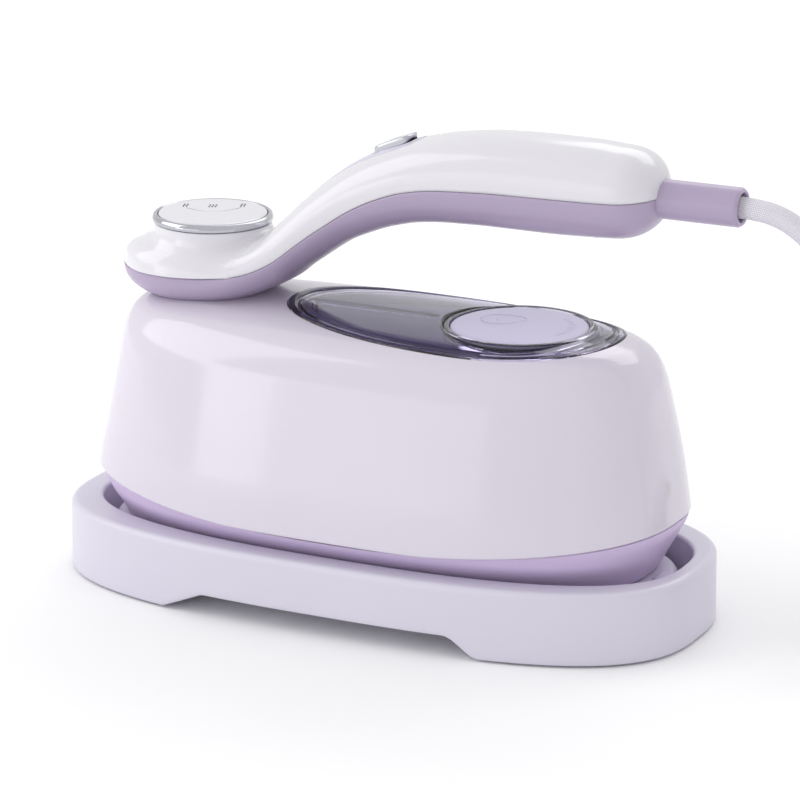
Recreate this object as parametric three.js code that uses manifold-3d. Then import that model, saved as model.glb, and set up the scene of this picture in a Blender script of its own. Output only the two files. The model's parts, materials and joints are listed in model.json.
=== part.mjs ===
// Compact steam iron standing in its rest tray, with its lead and plug.
// Millimetres, +Z up, nose towards -X, heel and lead towards +X.
// The origin is the centre of the rest tray's underside.
import * as THREE from 'three';
import { mergeVertices } from 'three/addons/utils/BufferGeometryUtils.js';
import Module from 'manifold-3d';

const wasm = await Module();
wasm.setup();

// ---------------------------------------------------------------- driving sizes
const GAP = 0.3;                 // running gap between touching pieces
const PLAN_SEGMENTS = 36;        // points round every plan outline
const GRIP_SEGMENTS = 20;        // points round a slice of the grip
const HIDDEN_SEGMENTS = 20;      // points round a hidden inner wall
const ROUND_SEGMENTS = 18;       // points round a turned piece

const TRAY = { halfLength: 130, halfWidth: 62.3, height: 28.3, power: 2.82, floor: 12, foot: 0.6 };
const NOTCH = { height: 8.35, frontFoot: -67, frontTop: -49, rearTop: 52, rearFoot: 66.5 };
const RECESS = { front: -119, rear: 122.5, half: 50.5, power: 2.6 };
const PLATFORM = { front: -114.5, rear: 117.5, half: 46.8, top: 22, floor: 14.3 };
const SOLEPLATE = { front: -107, rear: 105, half: 43, bottom: 14.6, top: 20 };
const CHAMBER = { front: -97, rear: 95, half: 36.5, bottom: 20.3, top: 33, wall: 13 };
const BODY_POWER = 2.6;
const SHELL_WALL = 2.6;
const SKIRT_WALL = 3;
const WINDOW = { front: -41.5, rear: 95.7, widest: 34, half: 37, frontPower: 2.2, rearPower: 2.25, lid: 2.4 };
const CAP = { x: 55, radius: 26, bottom: 110.4, top: 113.1, collar: 28.7 };
const DIAL = { x: -75.2, neckTop: 138.5, panelTop: 141.8, panelRadius: 21, ringRadius: 23.4 };
const HEAD = { x: -80, halfLength: 31, halfWidth: 26 };
const HANDLE_WALL = 2.6;
const GRIP_HALF_WIDTH = 18;
const BUTTON = { x: 3.6, z: 176.2, slope: 29.6, half: 8.3, halfWidth: 5.7, bottom: -1.4, top: 1.6 };
const SLEEVE = { z: 167.1, radius: 7.3, bore: 5.3, start: 99.2, end: 143 };
const CORD = { radius: 4, pitch: 8, coilX: 230, coilY: 50, innerTurn: 42, outerTurn: 50, layers: 3 };

// ---------------------------------------------------------------- materials
const finish = (color, roughness, metalness = 0) =>
  new THREE.MeshStandardMaterial({ color, roughness, metalness });
const WHITE = finish('#e9e6ef', 0.22);
const BODY_WHITE = finish('#e2deea', 0.2);
const TRAY_LAVENDER = finish('#dedae6', 0.35);
const PAD_LAVENDER = finish('#cfc9dc', 0.6);
const MAUVE = finish('#b3a6c2', 0.35);
const SKIRT_MAUVE = finish('#a698ba', 0.4);
const CAP_LAVENDER = finish('#c9c4db', 0.4);
const INLAY_LAVENDER = finish('#d9d4ea', 0.35);
const CHROME = finish('#d6d8da', 0.12, 1);
const CAST_ALUMINIUM = finish('#a9abae', 0.5, 0.9);
const STEEL = finish('#b9bbbd', 0.3, 1);
const BRASS = finish('#c7a55a', 0.3, 1);
const SILICONE = finish('#ece9e4', 0.7);
const DARK_PLASTIC = finish('#3a3a40', 0.5);
const BOARD_GREEN = finish('#2f6b48', 0.6);
const BRAID = finish('#e6e2ee', 0.9);
const TANK_TINT = new THREE.MeshStandardMaterial({
  color: '#857f95', roughness: 0.08, metalness: 0, transparent: true, opacity: 0.5,
});
const CLEAR = new THREE.MeshStandardMaterial({
  color: '#dcd9e6', roughness: 0.06, metalness: 0, transparent: true, opacity: 0.45,
});

// ---------------------------------------------------------------- solids and meshes
/** A manifold solid from a closed three.js geometry. */
function solid(geometry) {
  const bare = geometry.clone();
  bare.deleteAttribute('normal');
  bare.deleteAttribute('uv');
  const merged = mergeVertices(bare, 1e-4);
  return new wasm.Manifold(new wasm.Mesh({
    numProp: 3,
    vertProperties: merged.attributes.position.array,
    triVerts: new Uint32Array(merged.index.array),
  }));
}

/** A three.js geometry from a manifold solid. */
function surface(shape) {
  const { vertProperties, triVerts } = shape.getMesh();
  const geometry = new THREE.BufferGeometry();
  geometry.setAttribute('position', new THREE.BufferAttribute(vertProperties, 3));
  geometry.setIndex(new THREE.BufferAttribute(triVerts, 1));
  geometry.computeVertexNormals();
  return geometry;
}

const iron = new THREE.Group();

/** Adds a named mesh made of a geometry or a manifold solid. */
function piece(name, shape, material, parent = iron) {
  const mesh = new THREE.Mesh(shape.isBufferGeometry ? shape : surface(shape), material);
  mesh.name = name;
  parent.add(mesh);
  return mesh;
}

/** A closed skin through rings of equal length, with a flat fan at each end. */
function loft(rings) {
  const count = rings[0].length;
  const positions = rings.flat().flatMap((point) => [point.x, point.y, point.z]);
  const index = [];
  for (let row = 0; row < rings.length - 1; row += 1) {
    for (let step = 0; step < count; step += 1) {
      const a = row * count + step;
      const b = row * count + ((step + 1) % count);
      index.push(a, b, b + count, a, b + count, a + count);
    }
  }
  for (const [row, flip] of [[0, true], [rings.length - 1, false]]) {
    const middle = rings[row].reduce((sum, point) => sum.add(point), new THREE.Vector3());
    middle.divideScalar(count);
    const hub = positions.length / 3;
    positions.push(middle.x, middle.y, middle.z);
    for (let step = 0; step < count; step += 1) {
      const a = row * count + step;
      const b = row * count + ((step + 1) % count);
      index.push(...(flip ? [b, a, hub] : [a, b, hub]));
    }
  }
  const geometry = new THREE.BufferGeometry();
  geometry.setAttribute('position', new THREE.Float32BufferAttribute(positions, 3));
  geometry.setIndex(index);
  return geometry;
}

const signedPower = (value, power) => Math.sign(value) * Math.abs(value) ** power;

/** A level superellipse ring; front and rear are its ends along X. */
function ovalRing({ front, rear, half, z, power = BODY_POWER, rearPower = power, widest = (front + rear) / 2 },
  segments = PLAN_SEGMENTS) {
  const ring = [];
  for (let step = 0; step < segments; step += 1) {
    const angle = (step / segments) * Math.PI * 2;
    const backwards = Math.cos(angle) >= 0;
    const exponent = 2 / (backwards ? rearPower : power);
    const reach = backwards ? rear - widest : widest - front;
    ring.push(new THREE.Vector3(
      widest + reach * signedPower(Math.cos(angle), exponent),
      half * signedPower(Math.sin(angle), exponent),
      z,
    ));
  }
  return ring;
}

/** A skin through level superellipse rings, given from the lowest to the highest. */
const ovalLoft = (levels, segments) => solid(loft(levels.map((level) => ovalRing(level, segments))));

/** A straight-sided oval block. */
const ovalBlock = (plan, low, high, segments) => ovalLoft([{ ...plan, z: low }, { ...plan, z: high }], segments);

/** Every other level, the first and last kept: enough for a hidden inner wall. */
const coarse = (levels) => levels.filter((_, row) => row % 2 === 0 || row === levels.length - 1);

/** An oval grown outwards by a distance all round. */
const grown = (plan, by) => ({ ...plan, front: plan.front - by, rear: plan.rear + by, half: plan.half + by });

/** A box between two corners. */
function block([x0, y0, z0], [x1, y1, z1]) {
  return new THREE.BoxGeometry(x1 - x0, y1 - y0, z1 - z0)
    .translate((x0 + x1) / 2, (y0 + y1) / 2, (z0 + z1) / 2);
}

/** A cylinder of one radius along X, Y or Z, from one coordinate to another. */
function rod(axis, radius, from, to, [u, v], sides = ROUND_SEGMENTS) {
  const geometry = new THREE.CylinderGeometry(radius, radius, to - from, sides);
  const middle = (from + to) / 2;
  if (axis === 'x') return geometry.rotateZ(Math.PI / 2).translate(middle, u, v);
  if (axis === 'y') return geometry.translate(u, middle, v);
  return geometry.rotateX(Math.PI / 2).translate(u, v, middle);
}

/** A turned piece about +Z, from [radius, height] pairs that close on themselves or the axis. */
function turned(profile, sides = ROUND_SEGMENTS) {
  const points = profile.map(([radius, height]) => new THREE.Vector2(radius, height));
  return new THREE.LatheGeometry(points, sides).rotateX(Math.PI / 2);
}

/** A prism of an outline in X and Z, run along Y between two sides. */
function sidePrism(outline, y0, y1) {
  const shape = new THREE.Shape(outline.map(([x, z]) => new THREE.Vector2(x, z)));
  return new THREE.ExtrudeGeometry(shape, { depth: y1 - y0, bevelEnabled: false, steps: 1 })
    .rotateX(Math.PI / 2)
    .translate(0, y1, 0);
}

/** A round tube along a smooth curve through points. */
function tube(points, radius, sides, steps) {
  const outline = [];
  for (let side = 0; side < sides; side += 1) {
    const angle = (side / sides) * Math.PI * 2;
    outline.push(new THREE.Vector2(Math.cos(angle) * radius, Math.sin(angle) * radius));
  }
  const path = new THREE.CatmullRomCurve3(points.map((point) => new THREE.Vector3(...point)));
  return new THREE.ExtrudeGeometry(new THREE.Shape(outline), { extrudePath: path, steps });
}

// ---------------------------------------------------------------- body outline
/** Outer levels of the water body; a negative margin gives its inner wall. */
function bodyLevels(margin, lowest) {
  const levels = [
    [44, -118.8, 120.5, 57.6], [64, -114.6, 117.8, 54.4], [85, -110.8, 113.6, 50.2], [96, -108.8, 111, 47.4],
    [102, -107, 108.6, 44.4], [106.4, -104.2, 105.2, 40.6], [109.4, -99.4, 100.4, 35.2],
    [111.6, -90, 91, 26], [112.8, -72, 74, 13],
  ];
  const bottom = { front: -119.6, rear: 121.4, half: 58.4, z: lowest };
  return [bottom, ...levels.map(([z, front, rear, half]) => ({ front, rear, half, z: margin < 0 ? z + margin : z }))]
    .map((level) => grown(level, margin));
}
const bodyOuter = ovalLoft(bodyLevels(0, 30));
const bodyInner = ovalLoft(coarse(bodyLevels(-SHELL_WALL, 20)), HIDDEN_SEGMENTS);
const bodyClearance = ovalLoft(bodyLevels(GAP, 30).map((level) => ({ ...level, z: level.z + GAP })));

/** The smiling line where the white body ends and the skirt begins, as [x, z] points. */
function hemLine(raise) {
  const line = [];
  for (let x = -132; x <= 132; x += 12) {
    line.push([x, 35 + 9.6 * Math.abs(x / 120) ** 2.1 + raise]);
  }
  return line;
}
const belowHem = (raise) => solid(sidePrism([...hemLine(raise), [132, 0], [-132, 0]], -70, 70));

// ---------------------------------------------------------------- rest tray
function makeTray() {
  const { halfLength: a, halfWidth: b, height, power, floor, foot } = TRAY;
  const level = (z, inset) => ({ front: inset - a, rear: a - inset, half: b - inset, z, power });
  const wall = ovalLoft([
    level(foot, 1.2), level(foot + 1.2, 0.2), level(14, 0), level(height - 2.4, 0.3),
    level(height - 0.8, 0.9), level(height, 2.6),
  ]);
  const recess = ovalLoft([
    { ...grown(RECESS, -1.2), z: floor }, { ...RECESS, z: height - 1.4 },
    { ...grown(RECESS, 0.5), z: height - 0.4 }, { ...grown(RECESS, 1.6), z: height + 0.4 },
  ]);
  const ramp = [];
  for (let step = 0; step <= 5; step += 1) {
    const along = step / 5;
    const ease = along * along * (3 - 2 * along);
    ramp.push([
      NOTCH.rearTop + (NOTCH.rearFoot - NOTCH.rearTop) * along,
      NOTCH.height + (foot - 0.4 - NOTCH.height) * ease,
    ]);
  }
  const notch = solid(sidePrism(
    [[NOTCH.frontFoot, foot - 0.4], [NOTCH.frontTop, NOTCH.height], ...ramp], -70, 70,
  ));
  let tray = wall.subtract(recess).subtract(notch);
  for (const [low, high] of [[-140, -74], [74, 140]]) {
    const pocket = ovalBlock({ front: 5 - a, rear: a - 5, half: b - 5, power }, 0, 8.6, HIDDEN_SEGMENTS)
      .intersect(solid(block([low, -80, 0], [high, 80, 20])));
    const middle = low < 0 ? -100 : 100;
    const bosses = [-28, 28].map((y) => solid(rod('z', 11.5, -1, 20, [middle, y], 12)));
    tray = tray.subtract(bosses.reduce((left, boss) => left.subtract(boss), pocket));
    for (const y of [-28, 28]) {
      tray = tray.subtract(solid(rod('z', 9 + GAP, 0, 3, [middle, y], 16)));
    }
  }
  return tray;
}
piece('rest_tray', makeTray(), TRAY_LAVENDER);

for (const [place, x] of [['nose', -100], ['heel', 100]]) {
  for (const [side, y] of [['near', -28], ['far', 28]]) {
    piece(`tray_foot_${place}_${side}`, turned([[0, 0], [8.2, 0], [9, 0.8], [9, 2.7], [0, 2.7]], 16), SILICONE)
      .position.set(x, y, 0);
  }
}

function makePlatform() {
  const { front, rear, half, top, floor } = PLATFORM;
  const level = (z, inset) => ({ front: front + inset, rear: rear - inset, half: half - inset, z });
  const dome = ovalLoft([
    level(TRAY.floor + GAP, 0), level(17, 0.2), level(20, 1), level(21.5, 2.2), level(top, 3.2),
  ]);
  const heelLug = solid(rod('x', 8, rear - 7, RECESS.rear - 1.9, [0, TRAY.floor + 4.4], 24))
    .intersect(solid(block([90, -9, TRAY.floor + GAP], [130, 9, 30])));
  return dome.add(heelLug).subtract(ovalBlock(grown(SOLEPLATE, 0.9), floor, top + 9));
}
piece('rest_platform', makePlatform(), PAD_LAVENDER);

// ---------------------------------------------------------------- hot end
function makeSoleplate() {
  const { bottom, top } = SOLEPLATE;
  let plate = ovalLoft([
    { ...grown(SOLEPLATE, -1.6), z: bottom }, { ...grown(SOLEPLATE, -0.3), z: bottom + 0.8 },
    { ...SOLEPLATE, z: bottom + 2 }, { ...grown(SOLEPLATE, -0.6), z: top },
  ]);
  for (let row = 0; row < 5; row += 1) {
    for (const side of row === 0 ? [0] : [-1, 1]) {
      const hole = rod('z', 1.6, bottom - 1, top + 1, [-92 + row * 13, side * (8 + row * 3.6)], 8);
      plate = plate.subtract(solid(hole));
    }
  }
  return plate;
}
piece('soleplate', makeSoleplate(), STEEL);

/** Centre line of the heating tube: round the nose in the chamber wall and out at the heel. */
function elementLine() {
  const line = [[98, -19, 26.6], [92, -19.5, 26.6]];
  const reach = grown(CHAMBER, -6.3);
  for (let step = 0; step <= 10; step += 1) {
    const turn = (Math.PI - 0.6) * (step / 5 - 1);
    line.push([
      (reach.front + reach.rear) / 2 - ((reach.rear - reach.front) / 2) * signedPower(Math.cos(turn), 0.85),
      reach.half * signedPower(Math.sin(turn), 0.85),
      26.6,
    ]);
  }
  line.push([92, 19.5, 26.6], [98, 19, 26.6]);
  return line;
}

function makeChamber() {
  const { bottom, top, wall } = CHAMBER;
  const pocket = ovalBlock(grown(CHAMBER, -wall), bottom + 3.5, top + 5, HIDDEN_SEGMENTS);
  let chamber = ovalBlock(CHAMBER, bottom, top, HIDDEN_SEGMENTS).subtract(pocket).subtract(solid(tube(elementLine(), 3.5 + GAP, 6, 26)));
  for (const x of [-62, -20, 22]) {
    chamber = chamber.subtract(solid(rod('z', 2, bottom - 1, bottom + 8, [x, 0], 10)));
  }
  return chamber;
}
piece('steam_chamber', makeChamber(), CAST_ALUMINIUM);
piece('heating_element', tube(elementLine(), 3.5, 6, 26), STEEL);

const chamberRim = grown(CHAMBER, -2);
piece('chamber_gasket', ovalBlock(chamberRim, 33.3, 34.3, HIDDEN_SEGMENTS)
  .subtract(ovalBlock(grown(CHAMBER, -9), 33, 35, HIDDEN_SEGMENTS)), SILICONE);
piece('chamber_cover', ovalBlock(chamberRim, 34.6, 36.2, HIDDEN_SEGMENTS)
  .subtract(solid(rod('z', 3.4, 34, 37, [-58, 0], 16))), STEEL);
piece('water_inlet', turned([[1.6, 29], [3, 29], [3, 36.5], [6, 36.5], [6, 38.5], [2.6, 38.5], [2.6, 46],
  [1.6, 46], [1.6, 29]], 16), BRASS).position.set(-58, 0, 0);
piece('thermostat', turned([[0, 36.5], [8, 36.5], [8, 41], [5.5, 42], [5.5, 47], [0, 47]], 20), DARK_PLASTIC)
  .position.set(24, 12, 0);
piece('thermal_fuse', rod('x', 2.4, 40, 62, [-14, 39.2], 12), CLEAR);

function makeSkirt() {
  const levels = [
    [22.6, -110.3, 108.8, 45.4], [28, -112.8, 111.2, 49.2], [35, -116.2, 114.6, 56.4],
    [44, -118.2, 119.8, 57.2], [50, -118.4, 120, 57.2],
  ].map(([z, front, rear, half]) => ({ front, rear, half, z }));
  const outer = ovalLoft(levels);
  const inner = ovalLoft(levels.map((level, row) => ({
    ...grown(level, -SKIRT_WALL),
    z: [20, 28, 35.5, 44, 52][row],
  })), HIDDEN_SEGMENTS);
  return outer.subtract(inner).intersect(belowHem(-GAP));
}
piece('heat_skirt', makeSkirt(), SKIRT_MAUVE);

// ---------------------------------------------------------------- water body and tank
const windowPlan = {
  front: WINDOW.front, rear: WINDOW.rear, half: WINDOW.half, widest: WINDOW.widest,
  power: WINDOW.frontPower, rearPower: WINDOW.rearPower,
};
const wiringHole = rod('z', 14, 95, 125, [-82, 0], 20);
piece('body_shell', bodyOuter.subtract(bodyInner).subtract(belowHem(0))
  .subtract(ovalBlock(windowPlan, 90, 125)).subtract(solid(wiringHole)), BODY_WHITE);

const lidUnder = ovalLoft(bodyLevels(0, 30).map((level) => ({
  ...grown(level, -0.6), z: level.z - WINDOW.lid,
})));
piece('tank_window', bodyOuter.intersect(ovalBlock(grown(windowPlan, -GAP), 95, 125))
  .subtract(lidUnder).subtract(solid(rod('z', CAP.collar + GAP, 95, 125, [CAP.x, 0], 32))), TANK_TINT);

const tubPlan = grown(windowPlan, -2.5);
const tubOuter = ovalLoft([
  { ...grown(tubPlan, -7), z: 62 }, { ...grown(tubPlan, -3), z: 66 }, { ...tubPlan, z: 104.6 },
], 24);
const tubInner = ovalLoft([
  { ...grown(tubPlan, -9), z: 64 }, { ...grown(tubPlan, -5), z: 68 }, { ...grown(tubPlan, -2), z: 106 },
], 24);
piece('tank_tub', tubOuter.subtract(tubInner)
  .subtract(solid(rod('z', 2.2, 55, 70, [-12, 0], 12))), TANK_TINT);

piece('filler_collar', turned([
  [CAP.radius + GAP, 108.6], [CAP.collar, 107.4], [CAP.collar, 112], [CAP.collar - 0.8, 112.5],
  [CAP.radius + GAP, 112.5], [CAP.radius + GAP, 108.6],
], 32), CLEAR).position.set(CAP.x, 0, 0);

const fillerGroup = new THREE.Group();
fillerGroup.position.set(CAP.x, 0, 0);
iron.add(fillerGroup);
piece('filler_neck', turned([
  [14.6, 98], [16.6, 98], [16.6, 106.6], [25.6, 106.6], [25.6, 107.7], [14.6, 107.7], [14.6, 98],
], 18), CLEAR, fillerGroup);
piece('filler_plug', turned([[0, 100], [12, 100], [12, 108.6], [6, 108.6], [6, 109.8], [0, 109.8]], 18),
  CAP_LAVENDER, fillerGroup);
piece('filler_seal', turned([
  [12.3, 101.5], [13.8, 101.5], [14.2, 103], [13.8, 104.5], [12.3, 104.5], [12.3, 101.5],
], 18), SILICONE, fillerGroup);
piece('filler_cap', turned([
  [0, CAP.bottom], [CAP.radius - 0.7, CAP.bottom], [CAP.radius, CAP.bottom + 0.7],
  [CAP.radius, CAP.top - 0.9], [CAP.radius - 0.9, CAP.top], [0, CAP.top],
], 32), CAP_LAVENDER, fillerGroup);

// ---------------------------------------------------------------- pump and hoses
const pump = { x0: -88, x1: -52, z: 66 };
piece('pump_body', solid(block([pump.x0, -13, pump.z - 12], [pump.x1, 13, pump.z + 12]))
  .subtract(solid(rod('x', 5.4, pump.x0 + 6, pump.x1 + 1, [0, pump.z], 20)))
  .subtract(solid(rod('z', 1.6, pump.z - 13, pump.z, [-58, 0], 8))), DARK_PLASTIC);
piece('pump_plunger', solid(rod('x', 5, pump.x0 + 12, pump.x1 + 3, [0, pump.z], 20)), STEEL);
piece('pump_hose', rod('z', 2.2, 46.3, pump.z - 12 - GAP, [-58, 0], 8), SILICONE);
piece('tank_hose', tube([
  [-12, 0, 61.6], [-12, 0, 54], [-18, 6, 48], [-34, 18, 48], [-50, 26, 56], [-60, 24, 64], [-60, 13.4, 66],
], 2, 6, 12), SILICONE);

// ---------------------------------------------------------------- handle
/** Vertical slices of the handle as [x, top, bottom, half width]. */
const GRIP_SLICES = [
  [-66, 131.6, 108, 25], [-58, 133.6, 111, 24.2], [-46, 139.4, 116.2, 22],
  [-39.6, 145.4, 119.7, 20.8], [-33, 151.9, 124.9, 20], [-26.6, 157.6, 129.5, 19.3],
  [-20, 162.8, 134.2, 18.7], [-13.8, 167.3, 138.1, 18.3], [-7.4, 171.1, 141.1, 18.1],
  [5.2, 176.7, 145.8, GRIP_HALF_WIDTH], [17.7, 180.8, 148.6, GRIP_HALF_WIDTH],
  [30, 183.5, 149.6, GRIP_HALF_WIDTH], [48, 185.6, 150, GRIP_HALF_WIDTH],
  [67, 186.2, 150, GRIP_HALF_WIDTH], [85, 186.1, 150.5, GRIP_HALF_WIDTH],
  [97, 184.7, 152.2, 17.2], [104, 182.6, 154.6, 15.6], [109, 180, 157.6, 13.2], [112, 177, 161, 10.4],
  [113, 174.6, 163.6, 8],
];

/** The grip's skin, moved inwards by a wall. */
function gripLoft(wall, segments = GRIP_SEGMENTS) {
  const slices = wall === 0 ? GRIP_SLICES : coarse(GRIP_SLICES.filter(([x]) => x < 110));
  return solid(loft(slices.map(([x, top, bottom, half]) => {
    const ring = [];
    for (let step = 0; step < segments; step += 1) {
      const angle = -(step / segments) * Math.PI * 2;
      const steep = x < -5 ? 1.25 : 1;
      ring.push(new THREE.Vector3(
        x + (wall > 0 && x < -60 ? wall : 0),
        (half - wall) * signedPower(Math.cos(angle), 0.84),
        (top + bottom) / 2 + ((top - bottom) / 2 - wall * steep) * signedPower(Math.sin(angle), 0.84),
      ));
    }
    return ring.reverse();
  })));
}

/** The head over the nose, with the dial's neck, moved inwards by a wall. */
function headLoft(wall, segments = 28) {
  const levels = [
    [107.6, 21, 15, HEAD.x], [110, 26, 21, HEAD.x], [114, 29.8, 24.8, HEAD.x],
    [121, HEAD.halfLength, HEAD.halfWidth, HEAD.x], [126, 30.2, 25.6, HEAD.x], [129, 27.6, 24.6, HEAD.x + 1.4],
    [131, 25.2, 23.8, HEAD.x + 3], [133.6, 23.5, 23.2, DIAL.x - 0.6], [DIAL.neckTop, 22.9, 22.9, DIAL.x],
  ];
  return ovalLoft((wall === 0 ? levels : coarse(levels)).map(([z, long, wide, x]) => ({
    front: x - long + wall, rear: x + long - wall, half: wide - wall, power: 2.1,
    z: z === DIAL.neckTop ? z - wall : z,
  })), segments);
}
const handleOuter = gripLoft(0).add(headLoft(0)).subtract(bodyClearance);
const handleInner = gripLoft(HANDLE_WALL, 12).add(headLoft(HANDLE_WALL, 16));

/** The line on the side where the white top shell meets the mauve under shell. */
const SEAM = [
  [-120, 121], [-84, 121], [-71, 121.4], [-58, 122.6], [-51.5, 124], [-45, 126.5], [-38.6, 130.2],
  [-30, 137], [-23.6, 142], [-17, 146.6], [-11, 150.8], [-4.6, 154.6], [1.7, 157.7], [8, 160.3],
  [14, 162.2], [26, 164.4], [39, 165.4], [51, 166], [75, 166.5], [98.6, 167.2], [122, 169],
];
const aboveSeam = (raise) => solid(sidePrism(
  [...SEAM.map(([x, z]) => [x, z + raise]), [122, 210], [-120, 210]], -40, 40,
));
const sleeveHole = solid(rod('x', SLEEVE.radius + GAP, SLEEVE.start, 130, [0, SLEEVE.z], 24));
const dialHole = solid(rod('z', 12 + GAP, 125, 150, [DIAL.x, 0], 24));

const INLAY = { front: -34, rear: 15.5, half: 8.8, widest: 3, power: 1.9, rearPower: 2.4 };
const inlayColumn = (by) => ovalBlock(grown(INLAY, by), 120, 200);
const inlaySkin = gripLoft(1.1);
/** A block set square to the sloping button, in the button's own directions. */
function atButton(geometry) {
  return geometry.rotateY(THREE.MathUtils.degToRad(-BUTTON.slope)).translate(BUTTON.x, 0, BUTTON.z);
}
const buttonHole = solid(atButton(block(
  [-BUTTON.half - GAP, -BUTTON.halfWidth - GAP, -12], [BUTTON.half + GAP, BUTTON.halfWidth + GAP, 8],
)));

piece('handle_upper', handleOuter.subtract(handleInner).intersect(aboveSeam(GAP))
  .subtract(sleeveHole).subtract(dialHole).subtract(buttonHole)
  .subtract(inlayColumn(GAP).subtract(gripLoft(1.1 + GAP))), WHITE);

const gripScrews = [40, 86];
const SCREW_SEAT = 151.9;
const screwHoles = gripScrews.map((x) => solid(rod('z', 3.4, 140, SCREW_SEAT, [x, 0], 12))
  .add(solid(rod('z', 1.8, 140, 160, [x, 0], 12))));
piece('handle_lower', screwHoles.reduce((shell, hole) => shell.subtract(hole),
  handleOuter.subtract(handleInner).subtract(aboveSeam(0)).subtract(sleeveHole)), MAUVE);

piece('button_inlay', handleOuter.intersect(inlayColumn(0)).subtract(inlaySkin)
  .subtract(buttonHole).intersect(aboveSeam(GAP)), INLAY_LAVENDER);

gripScrews.forEach((x, order) => {
  piece(`grip_screw_${order + 1}`, turned([
    [0, SCREW_SEAT - 1.8], [2.4, SCREW_SEAT - 1.8], [3, SCREW_SEAT - 1.2], [3, SCREW_SEAT - GAP],
    [1.5, SCREW_SEAT - GAP], [1.5, SCREW_SEAT + 6.6], [0, SCREW_SEAT + 6.6],
  ], 12), STEEL).position.set(x, 0, 0);
});

// ---------------------------------------------------------------- steam button
const button = solid(atButton(block(
  [-BUTTON.half, -BUTTON.halfWidth, BUTTON.bottom], [BUTTON.half, BUTTON.halfWidth, BUTTON.top],
)))
  .add(solid(atButton(block([-4, -3, -5.5], [4, 3, -1.2]))));
piece('steam_button', button, CHROME);
piece('button_spring', atButton(rod('z', 2.4, -9.2, -5.8, [0, 0], 12)), STEEL);
piece('steam_switch', atButton(block([-6, -4, -14.5], [6, 4, -9.5])), DARK_PLASTIC);

// ---------------------------------------------------------------- dial
const dialGroup = new THREE.Group();
dialGroup.position.set(DIAL.x, 0, 0);
iron.add(dialGroup);
piece('dial_panel', turned([
  [0, 127], [11.7, 127], [11.7, DIAL.neckTop + GAP], [DIAL.panelRadius, DIAL.neckTop + GAP],
  [DIAL.panelRadius, DIAL.panelTop - 0.5], [DIAL.panelRadius - 0.5, DIAL.panelTop], [0, DIAL.panelTop],
], 32), WHITE, dialGroup);
piece('selector_ring', turned([
  [DIAL.panelRadius + GAP, DIAL.neckTop + GAP], [DIAL.ringRadius, DIAL.neckTop + GAP],
  [DIAL.ringRadius, 140.4], [DIAL.ringRadius - 1, 141.5], [DIAL.panelRadius + GAP, 141.5],
  [DIAL.panelRadius + GAP, DIAL.neckTop + GAP],
], 32), CHROME, dialGroup);
piece('control_board', block([-99, -15, 119], [-63, 15, 120.6]), BOARD_GREEN);

// ---------------------------------------------------------------- lead
piece('cord_sleeve', turned([
  [SLEEVE.bore, SLEEVE.start + GAP], [9.2, SLEEVE.start + GAP], [9.2, SLEEVE.start + 2.6],
  [SLEEVE.radius, SLEEVE.start + 2.6], [SLEEVE.radius, SLEEVE.end - 1], [SLEEVE.radius - 1, SLEEVE.end],
  [SLEEVE.bore, SLEEVE.end], [SLEEVE.bore, SLEEVE.start + GAP],
], 24).rotateY(Math.PI / 2), MAUVE).position.set(0, 0, SLEEVE.z);
piece('cord_clamp', solid(block([88, -8, 160], [98, 8, 174]))
  .subtract(solid(rod('x', CORD.radius + GAP, 80, 110, [0, SLEEVE.z], 20))), DARK_PLASTIC);

/** The lead's centre line from the sleeve's mouth down to the coil. */
const CORD_ROUTE = [
  [143.3, 0, 167.1], [146, 0, 167], [153, 0, 166.2], [159.4, 0, 164.2], [165, 0, 161], [170, 0, 157],
  [174.4, 0, 151.6], [177.4, 0, 146], [179.4, 0, 139.6], [180, 0, 133], [180, 0, 114], [180, 0, 95],
  [180, 0, 76], [180, 0, 57], [180, 0, 38], [180.7, 0, 31], [182.6, 0, 25], [185.8, 0, 19],
  [190, 0, 14], [195, 0, 9.8], [201, 0, 6.6],
];
piece('cord_hanging', tube(CORD_ROUTE, CORD.radius, 8, 26), BRAID);

const coilOuter = CORD.outerTurn + CORD.radius;
const coilInner = CORD.innerTurn - CORD.radius;
const coilTop = CORD.layers * CORD.pitch;
piece('cord_coil', turned([
  [coilInner, 1.5], [coilInner + 1.5, 0], [coilOuter - 1.5, 0], [coilOuter, 1.5], [coilOuter, coilTop - 1.5],
  [coilOuter - 1.5, coilTop], [coilInner + 1.5, coilTop], [coilInner, coilTop - 1.5], [coilInner, 1.5],
], 28), BRAID).position.set(CORD.coilX, CORD.coilY, 0);

// ---------------------------------------------------------------- plug, lying on the coil
const PLUG = { heading: 155, z: coilTop + GAP + 9, length: 36, width: 27, height: 18, tail: 22, tailRadius: 4.7 };
const PIN = { spread: 7.9, halfThick: 0.8, halfDeep: 3.1, reach: 17 };
/** The lead's last bend: it leaves the coil at LEAVE degrees and curls over it to the plug's tail. */
const LAST_BEND = { radius: 36, leave: 5, sweep: 60, setIn: 10, rise: coilTop - CORD.radius };
function lastBend(share) {
  const angle = THREE.MathUtils.degToRad(LAST_BEND.leave + LAST_BEND.sweep * share);
  const leave = THREE.MathUtils.degToRad(LAST_BEND.leave);
  const ease = share * share * (3 - 2 * share);
  return [
    CORD.coilX + LAST_BEND.setIn * Math.cos(leave) + LAST_BEND.radius * Math.cos(angle),
    CORD.coilY + LAST_BEND.setIn * Math.sin(leave) + LAST_BEND.radius * Math.sin(angle),
    LAST_BEND.rise + (PLUG.z - LAST_BEND.rise) * ease,
  ];
}
piece('cord_tail', tube([0.62, 0.71, 0.8, 0.89, 0.98].map(lastBend), CORD.radius, 8, 6), BRAID);

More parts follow.
